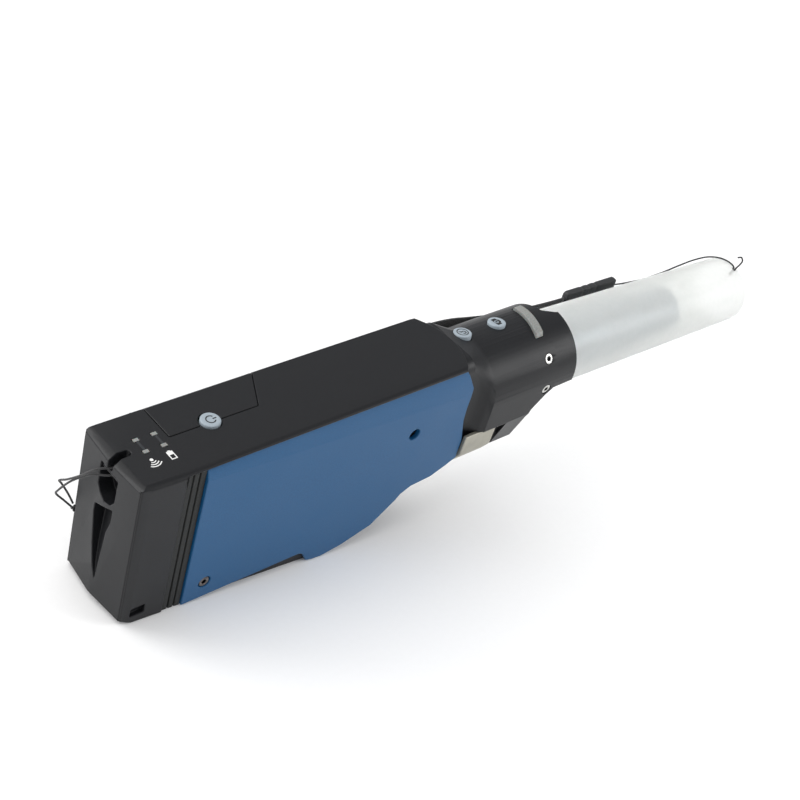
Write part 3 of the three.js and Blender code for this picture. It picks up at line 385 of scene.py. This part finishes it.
def eased(node, body, finish, width=0.0004, segments=2, angle=28, crisp=38,
          keep_flat=True, shaped=None, weld=2e-6, flat=1):
    """The CAD node's shape with its sharp edges rounded over, as moulding or cutting does."""
    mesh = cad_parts[node].data.copy()
    mesh.name = node + "_finished"
    form = bmesh.new()
    form.from_mesh(mesh)
    bmesh.ops.remove_doubles(form, verts=form.verts, dist=weld)
    bmesh.ops.dissolve_limit(form, angle_limit=math.radians(flat), verts=form.verts,
                             edges=form.edges)
    if shaped:
        shaped(form)
    for face in form.faces:
        face.smooth = True
    form.to_mesh(mesh)
    form.free()
    mesh.materials.clear()
    mesh.materials.append(finish)
    piece = shown(node + "_finished", mesh)
    if width:
        rounding = piece.modifiers.new("rounding", "BEVEL")
        rounding.limit_method = "ANGLE"
        rounding.angle_limit = math.radians(angle)
        rounding.width = width
        rounding.segments = segments
        rounding.use_clamp_overlap = False
        rounding.miter_outer = "MITER_ARC"
        settle(piece)
    piece.data.set_sharp_from_angle(angle=math.radians(max(crisp, angle)))
    if keep_flat:
        weight = piece.modifiers.new("weight", "WEIGHTED_NORMAL")
        weight.keep_sharp = True
        settle(piece)
    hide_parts(node)
    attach(piece, body)
    return piece


def settle(piece):
    """Applies a piece's modifiers to its mesh."""
    bpy.context.view_layer.update()
    whole = piece.evaluated_get(bpy.context.evaluated_depsgraph_get())
    done = bpy.data.meshes.new_from_object(whole, preserve_all_data_layers=True,
                                           depsgraph=bpy.context.evaluated_depsgraph_get())
    piece.modifiers.clear()
    piece.data = done


# The bar that the loop goes round is a steel pin pressed across the heel's recess.
# Black-oxide steel: near black with a faint sheen, mottled at 0.7 mm. The screws' sockets take it
# too, as painted shade inside them.
black_oxide_and_socket_shade, tree, place = started("black_oxide_steel_and_socket_shade")
mottle = add(tree, "ShaderNodeTexNoise", {"Vector": place, "Scale": per_mm(0.7)})
surfaced(tree, Base_Color=blended(tree, mottle.outputs["Fac"], [(0.3, "2b2b2d"), (0.7, "3c3c3e")]),
         Metallic=0.9, Roughness=0.4)
eased("tether_bar", "housing", black_oxide_and_socket_shade, width=0.0001)

# ---- Body shells -------------------------------------------------------------------------
# Two injection-moulded ABS shells and a nose moulding carry everything. Their black faces
# are spark-eroded to a fine matt grain, and the shells' edges have a small moulded round.

# Black ABS: charcoal rather than black, satin, with a grain about 0.45 mm across that
# breaks up the highlights, and a slow change of gloss from handling.
moulded_abs, tree, place = started("black_moulded_abs")
grain = add(tree, "ShaderNodeTexNoise", {"Vector": place, "Scale": per_mm(0.45), "Detail": 4.0,
                                         "Roughness": 0.6})
handled = add(tree, "ShaderNodeTexNoise", {"Vector": place, "Scale": per_mm(28), "Detail": 2.0})
gloss = add(tree, "ShaderNodeMapRange", {"Value": handled.outputs["Fac"], "To Min": 0.34,
                                         "To Max": 0.46})
bump = add(tree, "ShaderNodeBump", {"Height": grain.outputs["Fac"], "Strength": 0.4,
                                    "Distance": 0.00012})
surfaced(tree, Base_Color=blended(tree, grain.outputs["Fac"], [(0.3, "131416"), (0.7, "1b1c1f")]),
         Roughness=gloss.outputs[0], IOR=1.53, Specular_IOR_Level=0.26,
         Normal=bump.outputs["Normal"])
heel_half, heel_round = 21, 0.0019


def heel_corners_rounded(form):
    """Rounds the two upright corners of the heel face."""
    corners = []
    for edge in form.edges:
        ends = [to_body @ corner.co for corner in edge.verts]
        on_heel = all(abs(p.x) < 0.3 and abs(abs(p.y) - heel_half) < 0.2 for p in ends)
        if on_heel and abs(ends[0].z - ends[1].z) > 4:
            corners.append(edge)
    bmesh.ops.bevel(form, geom=corners, offset=heel_round, segments=4, affect="EDGES",
                    clamp_overlap=True)


eased("main_housing", "housing", moulded_abs, width=0.0005, angle=46,
      shaped=heel_corners_rounded)
eased("lower_housing", "housing", moulded_abs, width=0.0005)
eased("nose_housing", "housing", moulded_abs, width=0, crisp=30)

# ---- Rear gasket -------------------------------------------------------------------------
# A ribbed band of moulded rubber seals the heel block to the shells and panels, and a
# ring of the same rubber in the collar grips the sleeve's root.
# Nitrile rubber: dark grey, dull, with a fine bloom about 0.8 mm across.
nitrile, tree, place = started("moulded_nitrile_rubber")
bloom = add(tree, "ShaderNodeTexNoise", {"Vector": place, "Scale": per_mm(0.8), "Detail": 3.0})
bump = add(tree, "ShaderNodeBump", {"Height": bloom.outputs["Fac"], "Strength": 0.2,
                                    "Distance": 0.00008})
surfaced(tree, Base_Color=blended(tree, bloom.outputs["Fac"], [(0.3, "171918"), (0.7, "222423")]),
         Roughness=0.7, Normal=bump.outputs["Normal"])
eased("rear_gasket", "housing", nitrile, width=0.0003)
eased("sleeve_seal", "housing", nitrile, width=0)

# ---- Side panels -------------------------------------------------------------------------
# A blue ABS cheek each side, screwed to the shells. A crease runs from the heel's top down
# to the nose, and the panel leans in above it.
# Blue ABS: a clean mid blue, moulded with a 0.4 mm grain, its gloss changed by handling.
blue_abs, tree, place = started("blue_moulded_abs")
grain = add(tree, "ShaderNodeTexNoise", {"Vector": place, "Scale": per_mm(0.4), "Detail": 4.0,
                                         "Roughness": 0.6})
handled = add(tree, "ShaderNodeTexNoise", {"Vector": place, "Scale": per_mm(35), "Detail": 2.0})
gloss = add(tree, "ShaderNodeMapRange", {"Value": handled.outputs["Fac"], "To Min": 0.38,
                                         "To Max": 0.5})
bump = add(tree, "ShaderNodeBump", {"Height": grain.outputs["Fac"], "Strength": 0.3,
                                    "Distance": 0.0001})
surfaced(tree, Base_Color=blended(tree, grain.outputs["Fac"], [(0.3, "0a4b79"), (0.7, "115887")]),
         Roughness=gloss.outputs[0], IOR=1.53, Specular_IOR_Level=0.4,
         Normal=bump.outputs["Normal"])
panel_top, roll_in, roll_steps = 77.6, 1.0, 8
crease_rear, crease_front = 28, 200
crease_start, crease_fall = 72, 11.3


def crease_height(x):
    """The crease's height in the body frame: it falls from the heel to the nose."""
    return crease_start - crease_fall * (x - crease_rear) / (crease_front - crease_rear)


def rolled_over(form):
    """Curves a panel in above its crease, so that its top edge tucks under the body's lip."""
    for step in range(1, roll_steps):
        k = step / roll_steps
        rear, front = (Vector((x, 0, crease_height(x) + k * (panel_top - crease_height(x))))
                       for x in (crease_rear, crease_front))
        across = (front - rear).cross(Vector((0, 1, 0)))
        bmesh.ops.bisect_plane(form, geom=form.verts[:] + form.edges[:] + form.faces[:],
                               dist=1e-7, plane_co=body_frame @ rear,
                               plane_no=body_frame.to_3x3() @ across)
    for corner in form.verts:
        x, y, z = to_body @ corner.co
        rise = (z - crease_height(x)) / (panel_top - crease_height(x))
        if rise > 0.02 and abs(y) > 21:
            y -= math.copysign(roll_in * min(rise, 1) ** 2.5, y)
            corner.co = body_frame @ Vector((x, y, z))


for node in ("right_side_panel", "left_side_panel"):
    eased(node, "housing", blue_abs, width=0.0005, segments=3, angle=30,
          shaped=rolled_over)

# ---- Battery door ------------------------------------------------------------------------
# An L-shaped lid that lifts off the left half of the top and side to change the cells.
# It is the shells' own black ABS.
eased("battery_door", "battery_door", moulded_abs, width=0.0004)

# ---- Focus slide -------------------------------------------------------------------------
# A cast alloy saddle that hugs the chin and is slid by thumb and finger to focus the
# optics; its pin reaches up into the lens carriage.
# Bead-blasted zinc alloy under clear lacquer: pale warm grey with a soft broad highlight
# and a 0.3 mm pebbled grain.
blasted_zinc, tree, place = started("bead_blasted_zinc_alloy")
pebble = add(tree, "ShaderNodeTexNoise", {"Vector": place, "Scale": per_mm(0.3), "Detail": 3.0})
cloud = add(tree, "ShaderNodeTexNoise", {"Vector": place, "Scale": per_mm(7), "Detail": 2.0})
bump = add(tree, "ShaderNodeBump", {"Height": pebble.outputs["Fac"], "Strength": 0.35,
                                    "Distance": 0.00008})
surfaced(tree, Base_Color=blended(tree, cloud.outputs["Fac"], [(0.3, "a19e92"), (0.7, "aeab9f")]),
         Metallic=0.6, Roughness=0.42, Normal=bump.outputs["Normal"])
eased("focus_slide", "focus_control", blasted_zinc, width=0.0006, segments=3)

# ---- Buttons -----------------------------------------------------------------------------
# Three round keys of moulded silicone with a slightly dished face, printed with icons:
# power on the body, and capture and focus on the collar, rolled 8 degrees to the left.
# Silicone rubber: pale blue-grey, matt, with a 0.5 mm mottle and a soft sheen.
silicone, tree, place = started("moulded_silicone")
mottle = add(tree, "ShaderNodeTexNoise", {"Vector": place, "Scale": per_mm(0.5), "Detail": 3.0})
bump = add(tree, "ShaderNodeBump", {"Height": mottle.outputs["Fac"], "Strength": 0.15,
                                    "Distance": 0.00006})
surfaced(tree, Base_Color=blended(tree, mottle.outputs["Fac"], [(0.3, "8e9aa3"), (0.7, "9ba6ae")]),
         Roughness=0.55, Sheen_Weight=0.1, Normal=bump.outputs["Normal"])

# Screen-printed ink: flat black on the keys, white on the heel, a little uneven in its film.
inks = {}
for ink, dark, light in (("black_printed_ink", "131416", "1c1d1f"),
                         ("white_printed_ink", "d8d9d8", "ececea"),
                         ("grey_printed_window", "2a2c2e", "323437")):
    inks[ink], tree, place = started(ink)
    film = add(tree, "ShaderNodeTexNoise", {"Vector": place, "Scale": per_mm(0.6)})
    surfaced(tree, Base_Color=blended(tree, film.outputs["Fac"], [(0.3, dark), (0.7, light)]),
             Roughness=0.45 if ink != "grey_printed_window" else 0.2)

key_radius = 4.7


def turned(name, profile, frame_matrix, sides=72):
    """A profile of (radius, height) pairs turned about z, closed where it meets the axis."""
    form = bmesh.new()
    rings = []
    for radius, height in profile:
        if radius < 1e-6:
            rings.append([form.verts.new((0, 0, height))])
        else:
            rings.append([form.verts.new((radius * math.cos(2 * math.pi * i / sides),
                                          radius * math.sin(2 * math.pi * i / sides), height))
                          for i in range(sides)])
    for a, b in zip(rings, rings[1:]):
        for i in range(sides):
            j = (i + 1) % sides
            corners = [a[i % len(a)], a[j % len(a)], b[j % len(b)], b[i % len(b)]]
            kept = [v for k, v in enumerate(corners) if v not in corners[:k]]
            if len(kept) > 2:
                form.faces.new(kept).smooth = True
    bmesh.ops.recalc_face_normals(form, faces=form.faces)
    mesh = bpy.data.meshes.new(name)
    form.to_mesh(mesh)
    form.free()
    mesh.transform(frame_matrix)
    mesh.set_sharp_from_angle(angle=math.radians(40))
    return mesh


def on_collar(x, roll, radius):
    """A frame that stands on the collar, rolled this many degrees from its top."""
    return body_frame @ Matrix.Translation((x, 0, collar_z)) @ Matrix.Rotation(
        math.radians(roll), 4, "X") @ Matrix.Translation((0, 0, radius))


def printed(name, outlines, spot, ink, body):
    """An icon of printed ink, 0.03 mm thick, from its outlines in millimetres."""
    drawn = bpy.data.curves.new(name, "CURVE")
    drawn.dimensions = "2D"
    drawn.fill_mode = "BOTH"
    drawn.extrude = 0.015
    for outline in outlines:
        spline = drawn.splines.new("POLY")
        spline.points.add(len(outline) - 1)
        for point, (x, y) in zip(spline.points, outline):
            point.co = (x, y, 0, 1)
        spline.use_cyclic_u = True
    source = bpy.data.objects.new(name + "_outline", drawn)
    bpy.context.scene.collection.objects.link(source)
    bpy.context.view_layer.update()
    mesh = bpy.data.meshes.new_from_object(source.evaluated_get(
        bpy.context.evaluated_depsgraph_get()))
    bpy.data.objects.remove(source)
    bpy.data.curves.remove(drawn)
    mesh.transform(spot)
    mesh.materials.clear()
    mesh.materials.append(inks[ink])
    piece = shown(name, mesh)
    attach(piece, body)
    return piece


def arc(radius, start, stop, steps=28, middle=(0, 0)):
    return [(middle[0] + radius * math.cos(math.radians(start + (stop - start) * i / steps)),
             middle[1] + radius * math.sin(math.radians(start + (stop - start) * i / steps)))
            for i in range(steps + 1)]


def band(inner, outer, start, stop, middle=(0, 0)):
    return arc(outer, start, stop, middle=middle) + arc(inner, stop, start, middle=middle)


def bar(x0, x1, y0, y1):
    return [(x0, y0), (x1, y0), (x1, y1), (x0, y1)]


icons = {
    "power_button": [band(1.9, 2.4, 125, 415), bar(-0.27, 0.27, 1.0, 2.9)],
    "capture_button": [
        [(-2.6, -1.8), (2.6, -1.8), (2.8, -1.6), (2.8, 1.0), (2.6, 1.2), (1.4, 1.2), (0.9, 2.1),
         (-0.9, 2.1), (-1.4, 1.2), (-2.6, 1.2), (-2.8, 1.0), (-2.8, -1.6)],
        arc(1.25, 0, 350, middle=(0, -0.3)), arc(0.6, 0, 350, middle=(0, -0.3))],
    "focus_button": [band(2.6, 3.1, 0, 359), band(0.8, 1.35, 0, 359, middle=(0.5, 0.4)),
                     [(-0.5, -0.35), (0.0, -0.8), (-1.1, -2.0), (-1.6, -1.5)]],
}
# The readers' way up: icons face someone holding the probe by its heel.
upright = Matrix.Rotation(math.radians(-90), 4, "Z")
key_spots = {
    "power_button": body_frame @ Matrix.Translation((49.4, 1.3, 81.2)),
    "capture_button": on_collar(229, -8, 27),
    "focus_button": on_collar(204.5, -8, 28),
}
for key, depth in (("power_button", 4.4), ("capture_button", 2.0), ("focus_button", 3.0)):
    profile = [(0, -depth), (key_radius, -depth), (key_radius, -0.62), (key_radius - 0.06, -0.4),
               (key_radius - 0.22, -0.2), (key_radius - 0.5, -0.06), (key_radius - 0.85, 0.0),
               (key_radius - 1.2, 0.02), (3.2, 0.0), (2.2, -0.04), (1.1, -0.06), (0, -0.065)]
    cap = shown(key + "_cap", turned(key + "_cap", profile, key_spots[key]))
    cap.data.materials.append(silicone)
    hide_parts(key)
    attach(cap, key)
    printed(key + "_icon", icons[key], key_spots[key] @ Matrix.Translation((0, 0, 0.04)) @ upright,
            "black_printed_ink", key)

# Under each key lies a steel snap dome.
for node in ("capture_switch", "focus_switch", "power_switch"):
    finished(node, turned_steel)

# ---- Heel lights and print ---------------------------------------------------------------
# Two strips of smoked print on the heel's top each end in a pair of light windows, for the
# radio and the battery, with a white icon beside them.
# Light pipe: moulded acrylic with a frosted top, pale grey with the lamps off.
frosted_acrylic, tree, place = started("frosted_acrylic")
frost = add(tree, "ShaderNodeTexNoise", {"Vector": place, "Scale": per_mm(0.5), "Detail": 4.0})
bump = add(tree, "ShaderNodeBump", {"Height": frost.outputs["Fac"], "Strength": 0.5,
                                    "Distance": 0.00012})
surfaced(tree, Base_Color=blended(tree, frost.outputs["Fac"], [(0.25, "737573"), (0.75, "969895")]),
         Roughness=0.38, IOR=1.49, Subsurface_Weight=0.15, Subsurface_Scale=0.001,
         Normal=bump.outputs["Normal"])
top_z = 80.2
for node in ("radio_light_1", "radio_light_2", "charge_light_1", "charge_light_2"):
    eased(node, "housing", frosted_acrylic, width=0.0001)
for name, x in (("radio_strip", 14.1), ("charge_strip", 23.1)):
    strip = [(x - 0.6, -1.55), (x + 0.6, -1.55), (x + 0.6, 3.95), (x - 0.6, 3.95)]
    printed(name, [strip], body_frame @ Matrix.Translation((0, 0, top_z + 0.02)),
            "grey_printed_window", "housing")
printed("radio_icon", [band(r, r + 0.5, 45, 135) for r in (1.5, 2.7, 3.9)] + [arc(0.8, 0, 350)],
        body_frame @ Matrix.Translation((13.3, -7.9, top_z + 0.02)) @ Matrix.Rotation(
            math.radians(188), 4, "Z"),
        "white_printed_ink", "housing")
printed("battery_icon", [bar(-2.4, 2.4, -1.5, 1.5), bar(-0.3, 1.9, -1.0, 1.0),
                         bar(-2.9, -2.5, -0.7, 0.7)],
        body_frame @ Matrix.Translation((22.5, -9.2, top_z + 0.02)) @ upright,
        "white_printed_ink", "housing")

# ---- Status light ------------------------------------------------------------------------
# A frosted acrylic bar let into the collar's top, slanting across it and standing proud.
eased("status_light", "housing", frosted_acrylic, width=0.0003)

# ---- Screws ------------------------------------------------------------------------------
# Stainless socket screws fix the collar, and zinc-plated ones fix the side panels. Each
# head has a turned chamfer and a hexagon socket, whose inside is painted near black as shade.


def socket_screw(node, spot, radius, socket, finish):
    """A cap screw: a chamfered head, its hexagon socket, and the shank below."""
    profile = [(0, -3.5), (1.2, -3.5), (1.2, -1.2), (radius, -1.2), (radius, -0.35),
               (radius - 0.12, -0.1), (radius - 0.35, 0), (socket + 0.2, 0), (socket, -0.12),
               (socket, -1.05), (socket * 0.7, -1.05), (0, -1.15)]
    mesh = turned(node + "_turned", profile, Matrix.Identity(4))
    for corner in mesh.vertices:
        reach = math.hypot(corner.co.x, corner.co.y)
        if abs(reach - socket) < 0.01 and corner.co.z < -0.1:
            angle = math.degrees(math.atan2(corner.co.y, corner.co.x)) % 60 - 30
            hexed = math.cos(math.radians(30)) / math.cos(math.radians(angle))
            corner.co.x *= hexed
            corner.co.y *= hexed
    mesh.materials.append(finish)
    # Its second material paints the socket's inside near black, as shade.
    mesh.materials.append(black_oxide_and_socket_shade)
    for face in mesh.polygons:
        painted_socket_shade = math.hypot(face.center.x, face.center.y) < socket and -1.1 < face.center.z < -0.2
        face.material_index = int(painted_socket_shade)
    mesh.transform(spot)
    piece = shown(node + "_turned", mesh)
    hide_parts(node)
    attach(piece, "housing")


head_radius, socket_radius, collar_radius = 2.75, 1.4, 25.6
collar_screws = ((55, 248), (95, 248.6), (-71, 248), (-111, 248.6))
for number, (roll, x) in enumerate(collar_screws, 1):
    socket_screw(f"collar_screw_{number}", on_collar(x, roll, collar_radius), head_radius,
                 socket_radius, turned_steel)

# Zinc-plated steel: a warm grey with patchy passivation about 1.5 mm across.
zinc_plate, tree, place = started("zinc_plated_steel")
patch = add(tree, "ShaderNodeTexNoise", {"Vector": place, "Scale": per_mm(1.5), "Detail": 3.0})
surfaced(tree, Base_Color=blended(tree, patch.outputs["Fac"], [(0.3, "5d5755"), (0.7, "857d79")]),
         Metallic=0.85, Roughness=0.36)
for node, x, z, side, seat in (("right_rear_screw", 44.1, 4.4, -1, 21.9),
                               ("right_front_screw", 158.2, 48.9, -1, 16.5),
                               ("left_front_screw", 158.2, 48.9, 1, 16.5)):
    socket_screw(node, body_frame @ Matrix.Translation((x, side * seat, z)) @ Matrix.Rotation(
        math.radians(-90 * side), 4, "X"), head_radius, socket_radius, zinc_plate)

# ---- Sleeve ------------------------------------------------------------------------------
# A push-on protective tube over the optics, extruded in natural polypropylene with its ends
# trimmed square, and punched near the tip for the tether.
# Natural polypropylene: milky and translucent, so the barrel shows inside as a blurred
# blue-grey shape; faint flow marks about 3 mm across ripple it.
milky_polypropylene, tree, place = started("natural_polypropylene")
flow = add(tree, "ShaderNodeTexNoise", {"Vector": place, "Scale": per_mm(3), "Detail": 3.0})
bump = add(tree, "ShaderNodeBump", {"Height": flow.outputs["Fac"], "Strength": 0.1,
                                    "Distance": 0.0002})
surfaced(tree, Base_Color=blended(tree, flow.outputs["Fac"], [(0.3, "f3f5f3"), (0.7, "f9faf8")]),
         Roughness=0.3, IOR=1.2, Transmission_Weight=0.62, Normal=bump.outputs["Normal"])
eased("protective_sleeve", "sleeve", milky_polypropylene, width=0, keep_flat=False)

# ---- Optics ------------------------------------------------------------------------------
# Inside the sleeve an anodised aluminium barrel, turned and clamped in the nose, holds the
# focus carriage and the front lens behind its retaining ring.
# Dyed anodised aluminium: blue-grey satin metal, its turned finish mottled at 0.8 mm.
anodised, tree, place = started("anodised_aluminium")
marks = add(tree, "ShaderNodeTexNoise", {"Vector": place, "Scale": per_mm(0.8), "Detail": 2.0})
bump = add(tree, "ShaderNodeBump", {"Height": marks.outputs["Fac"], "Strength": 0.2,
                                    "Distance": 0.00005})
surfaced(tree, Base_Color=blended(tree, marks.outputs["Fac"], [(0.3, "93a5b4"), (0.7, "a7b8c5")]),
         Metallic=0.55, Roughness=0.38, Normal=bump.outputs["Normal"])
eased("optical_barrel", "housing", anodised, width=0.0002, keep_flat=False)
eased("barrel_clamp", "housing", anodised, width=0.0002, keep_flat=False)
eased("lens_carriage", "focus_control", anodised, width=0.0002, keep_flat=False)
eased("barrel_tip", "housing", anodised, width=0.0003, keep_flat=False)

# Coated crown glass: clear, with a thin magenta-green bloom from its coating.
coated_glass, tree, place = started("coated_lens_glass")
bloom = add(tree, "ShaderNodeLayerWeight", {"Blend": 0.4})
surfaced(tree, Base_Color=blended(tree, bloom.outputs["Facing"],
                                  [(0.2, "f2f8fa"), (0.9, "dfe6f4")]),
         Roughness=0.02, IOR=1.52, Transmission_Weight=0.9, Coat_Weight=0.4, Coat_Roughness=0.02)
facing = optics_frame @ Matrix.Rotation(math.radians(90), 4, "Y")
glasses = {
    "front_lens": ("housing", [(0, 142), (11.75, 142), (11.8, 142.1), (11.8, 145.1)]
                   + [(11.8 * math.cos(a * math.pi / 24), 145.1 + 1.85 * math.sin(a * math.pi / 24))
                      for a in range(1, 12)] + [(0, 146.95)]),
    "focus_lens": ("focus_control", [(0, -13.2), (2, -13.12), (4, -12.9), (6, -12.4), (7.9, -11.4),
                                     (7.9, -9.4), (6, -8.4), (4, -7.9), (2, -7.68), (0, -7.6)]),
}
for node, (body, profile) in glasses.items():
    glass = shown(node + "_ground", turned(node + "_ground", profile, facing))
    glass.data.materials.append(coated_glass)
    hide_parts(node)
    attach(glass, body)

# ---- Circuit boards and lamps ------------------------------------------------------------
# The lamp ring round the front lens, and the status, main and sensor boards, are etched
# glass-fibre boards. Sixteen lamps are soldered round the ring's front.
# Solder mask over copper: a deep green gloss with the tracks faintly raised, drawn 4 mm apart.
green_board, tree, place = started("green_solder_mask")
tracks = add(tree, "ShaderNodeTexVoronoi", {"Vector": place, "Scale": per_mm(4)},
             distance="MANHATTAN", feature="F1")
bump = add(tree, "ShaderNodeBump", {"Height": tracks.outputs["Distance"], "Strength": 0.3,
                                    "Distance": 0.0001})
surfaced(tree, Base_Color=blended(tree, tracks.outputs["Distance"],
                                  [(0.2, "1a4f33"), (0.6, "24653f")]),
         Roughness=0.3, Normal=bump.outputs["Normal"])
eased("illumination_ring", "housing", green_board, width=0)
eased("status_board", "housing", green_board, width=0)
eased("main_board", "housing", green_board, width=0)
eased("sensor_board", "housing", green_board, width=0)

# White lamps: ceramic packages with a yellow phosphor face.
phosphor, tree, place = started("phosphor_lamp")
dots = add(tree, "ShaderNodeTexNoise", {"Vector": place, "Scale": per_mm(0.4)})
surfaced(tree, Base_Color=blended(tree, dots.outputs["Fac"], [(0.35, "d9c35a"), (0.65, "efe9b8")]),
         Roughness=0.35)
lamp_count, lamp_spot, lamp_size = 16, (141.5, 0, 10.2), (0.5, 1.6, 1.0, 1)
lamps = bmesh.new()
for i in range(lamp_count):
    turn = Matrix.Rotation(2 * math.pi * i / lamp_count, 4, "X")
    bmesh.ops.create_cube(lamps, size=1, matrix=optics_frame @ turn @ Matrix.Translation(
        lamp_spot) @ Matrix.Diagonal(lamp_size))
bmesh.ops.bevel(lamps, geom=lamps.edges[:], offset=0.00012, segments=2, affect="EDGES")
mesh = bpy.data.meshes.new("ring_lamps")
lamps.to_mesh(mesh)
lamps.free()
mesh.materials.append(phosphor)
ring_lamps = shown("ring_lamps", mesh)
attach(ring_lamps, "housing")

# ---- Battery pack ------------------------------------------------------------------------
# Three standing cells in a nylon tray behind the door, joined by metal strips. Each cell is
# a steel can in a heat-shrunk green wrap, with a pressed cap and a paper washer on top.
eased("battery_tray", "housing", moulded_nylon, width=0.0003)
# Heat-shrink PVC: glossy green, faintly rippled at 2 mm where it shrank.
shrink_wrap, tree, place = started("green_shrink_wrap")
ripple = add(tree, "ShaderNodeTexNoise", {"Vector": place, "Scale": per_mm(2), "Detail": 2.0})
bump = add(tree, "ShaderNodeBump", {"Height": ripple.outputs["Fac"], "Strength": 0.25,
                                    "Distance": 0.0001})
surfaced(tree, Base_Color=blended(tree, ripple.outputs["Fac"], [(0.3, "3f7a4c"), (0.7, "4b8a58")]),
         Roughness=0.25, Coat_Weight=0.3, Normal=bump.outputs["Normal"])
# Insulating paper: off-white with short fibres.
washer_paper, tree, place = started("fish_paper")
fibre = add(tree, "ShaderNodeTexNoise", {"Vector": place, "Scale": per_mm(0.5), "Detail": 6.0})
surfaced(tree, Base_Color=blended(tree, fibre.outputs["Fac"], [(0.3, "c9c6ba"), (0.7, "dcdacf")]),
         Roughness=0.8)
cell_radius, cell_low, cell_length = 9.1, 10.8, 64.6
cell_count, cell_start, cell_pitch, cell_y = 3, 38.6, 18.6, 10.6
for i in range(cell_count):
    spot = body_frame @ Matrix.Translation((cell_start + cell_pitch * i, cell_y, cell_low))
    top = cell_length - 1.2
    wrap = [(0, 0), (7.6, 0), (8.6, 0.1), (9.0, 0.4), (cell_radius, 0.9), (cell_radius, top - 3.6),
            (8.85, top - 3.0), (8.75, top - 2.5), (8.9, top - 2.0), (cell_radius, top - 1.4),
            (cell_radius, top - 0.5), (8.8, top - 0.1), (8.3, top), (6.4, top), (6.4, top - 0.5),
            (0, top - 0.5)]
    wrapped = shown(f"battery_cell_{i + 1}_wrapped", turned("wrap", wrap, spot))
    wrapped.data.materials.append(shrink_wrap)
    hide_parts(f"battery_cell_{i + 1}")
    washer = shown(f"cell_{i + 1}_washer", turned("washer", [
        (3.2, top - 0.45), (6.2, top - 0.45), (6.2, top - 0.2), (3.2, top - 0.2),
        (3.2, top - 0.45)], spot))
    washer.data.materials.append(washer_paper)
    cap = shown(f"cell_{i + 1}_cap", turned("cap", [
        (0, top - 0.45), (3.0, top - 0.45), (3.0, top + 0.9), (2.8, top + 1.15), (2.5, top + 1.2),
        (0, top + 1.2)], spot))
    cap.data.materials.append(turned_steel)
    for piece, slot in ((wrapped, "cell_can"), (washer, "cell_can"), (cap, "steel")):
        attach(piece, "housing")

# ---- Contacts, chassis and shield --------------------------------------------------------
# Pressed strips join the cells, a plate stiffens the body down its middle, and a folded
# can screens the radio. All are bright metal, with thinner rounds on the strips.
for node, width in (("lower_contact", 0.0001), ("upper_contact", 0.0001),
                    ("chassis_plate", 0.0003), ("radio_module", 0.0003)):
    eased(node, "housing", turned_steel, width=width)
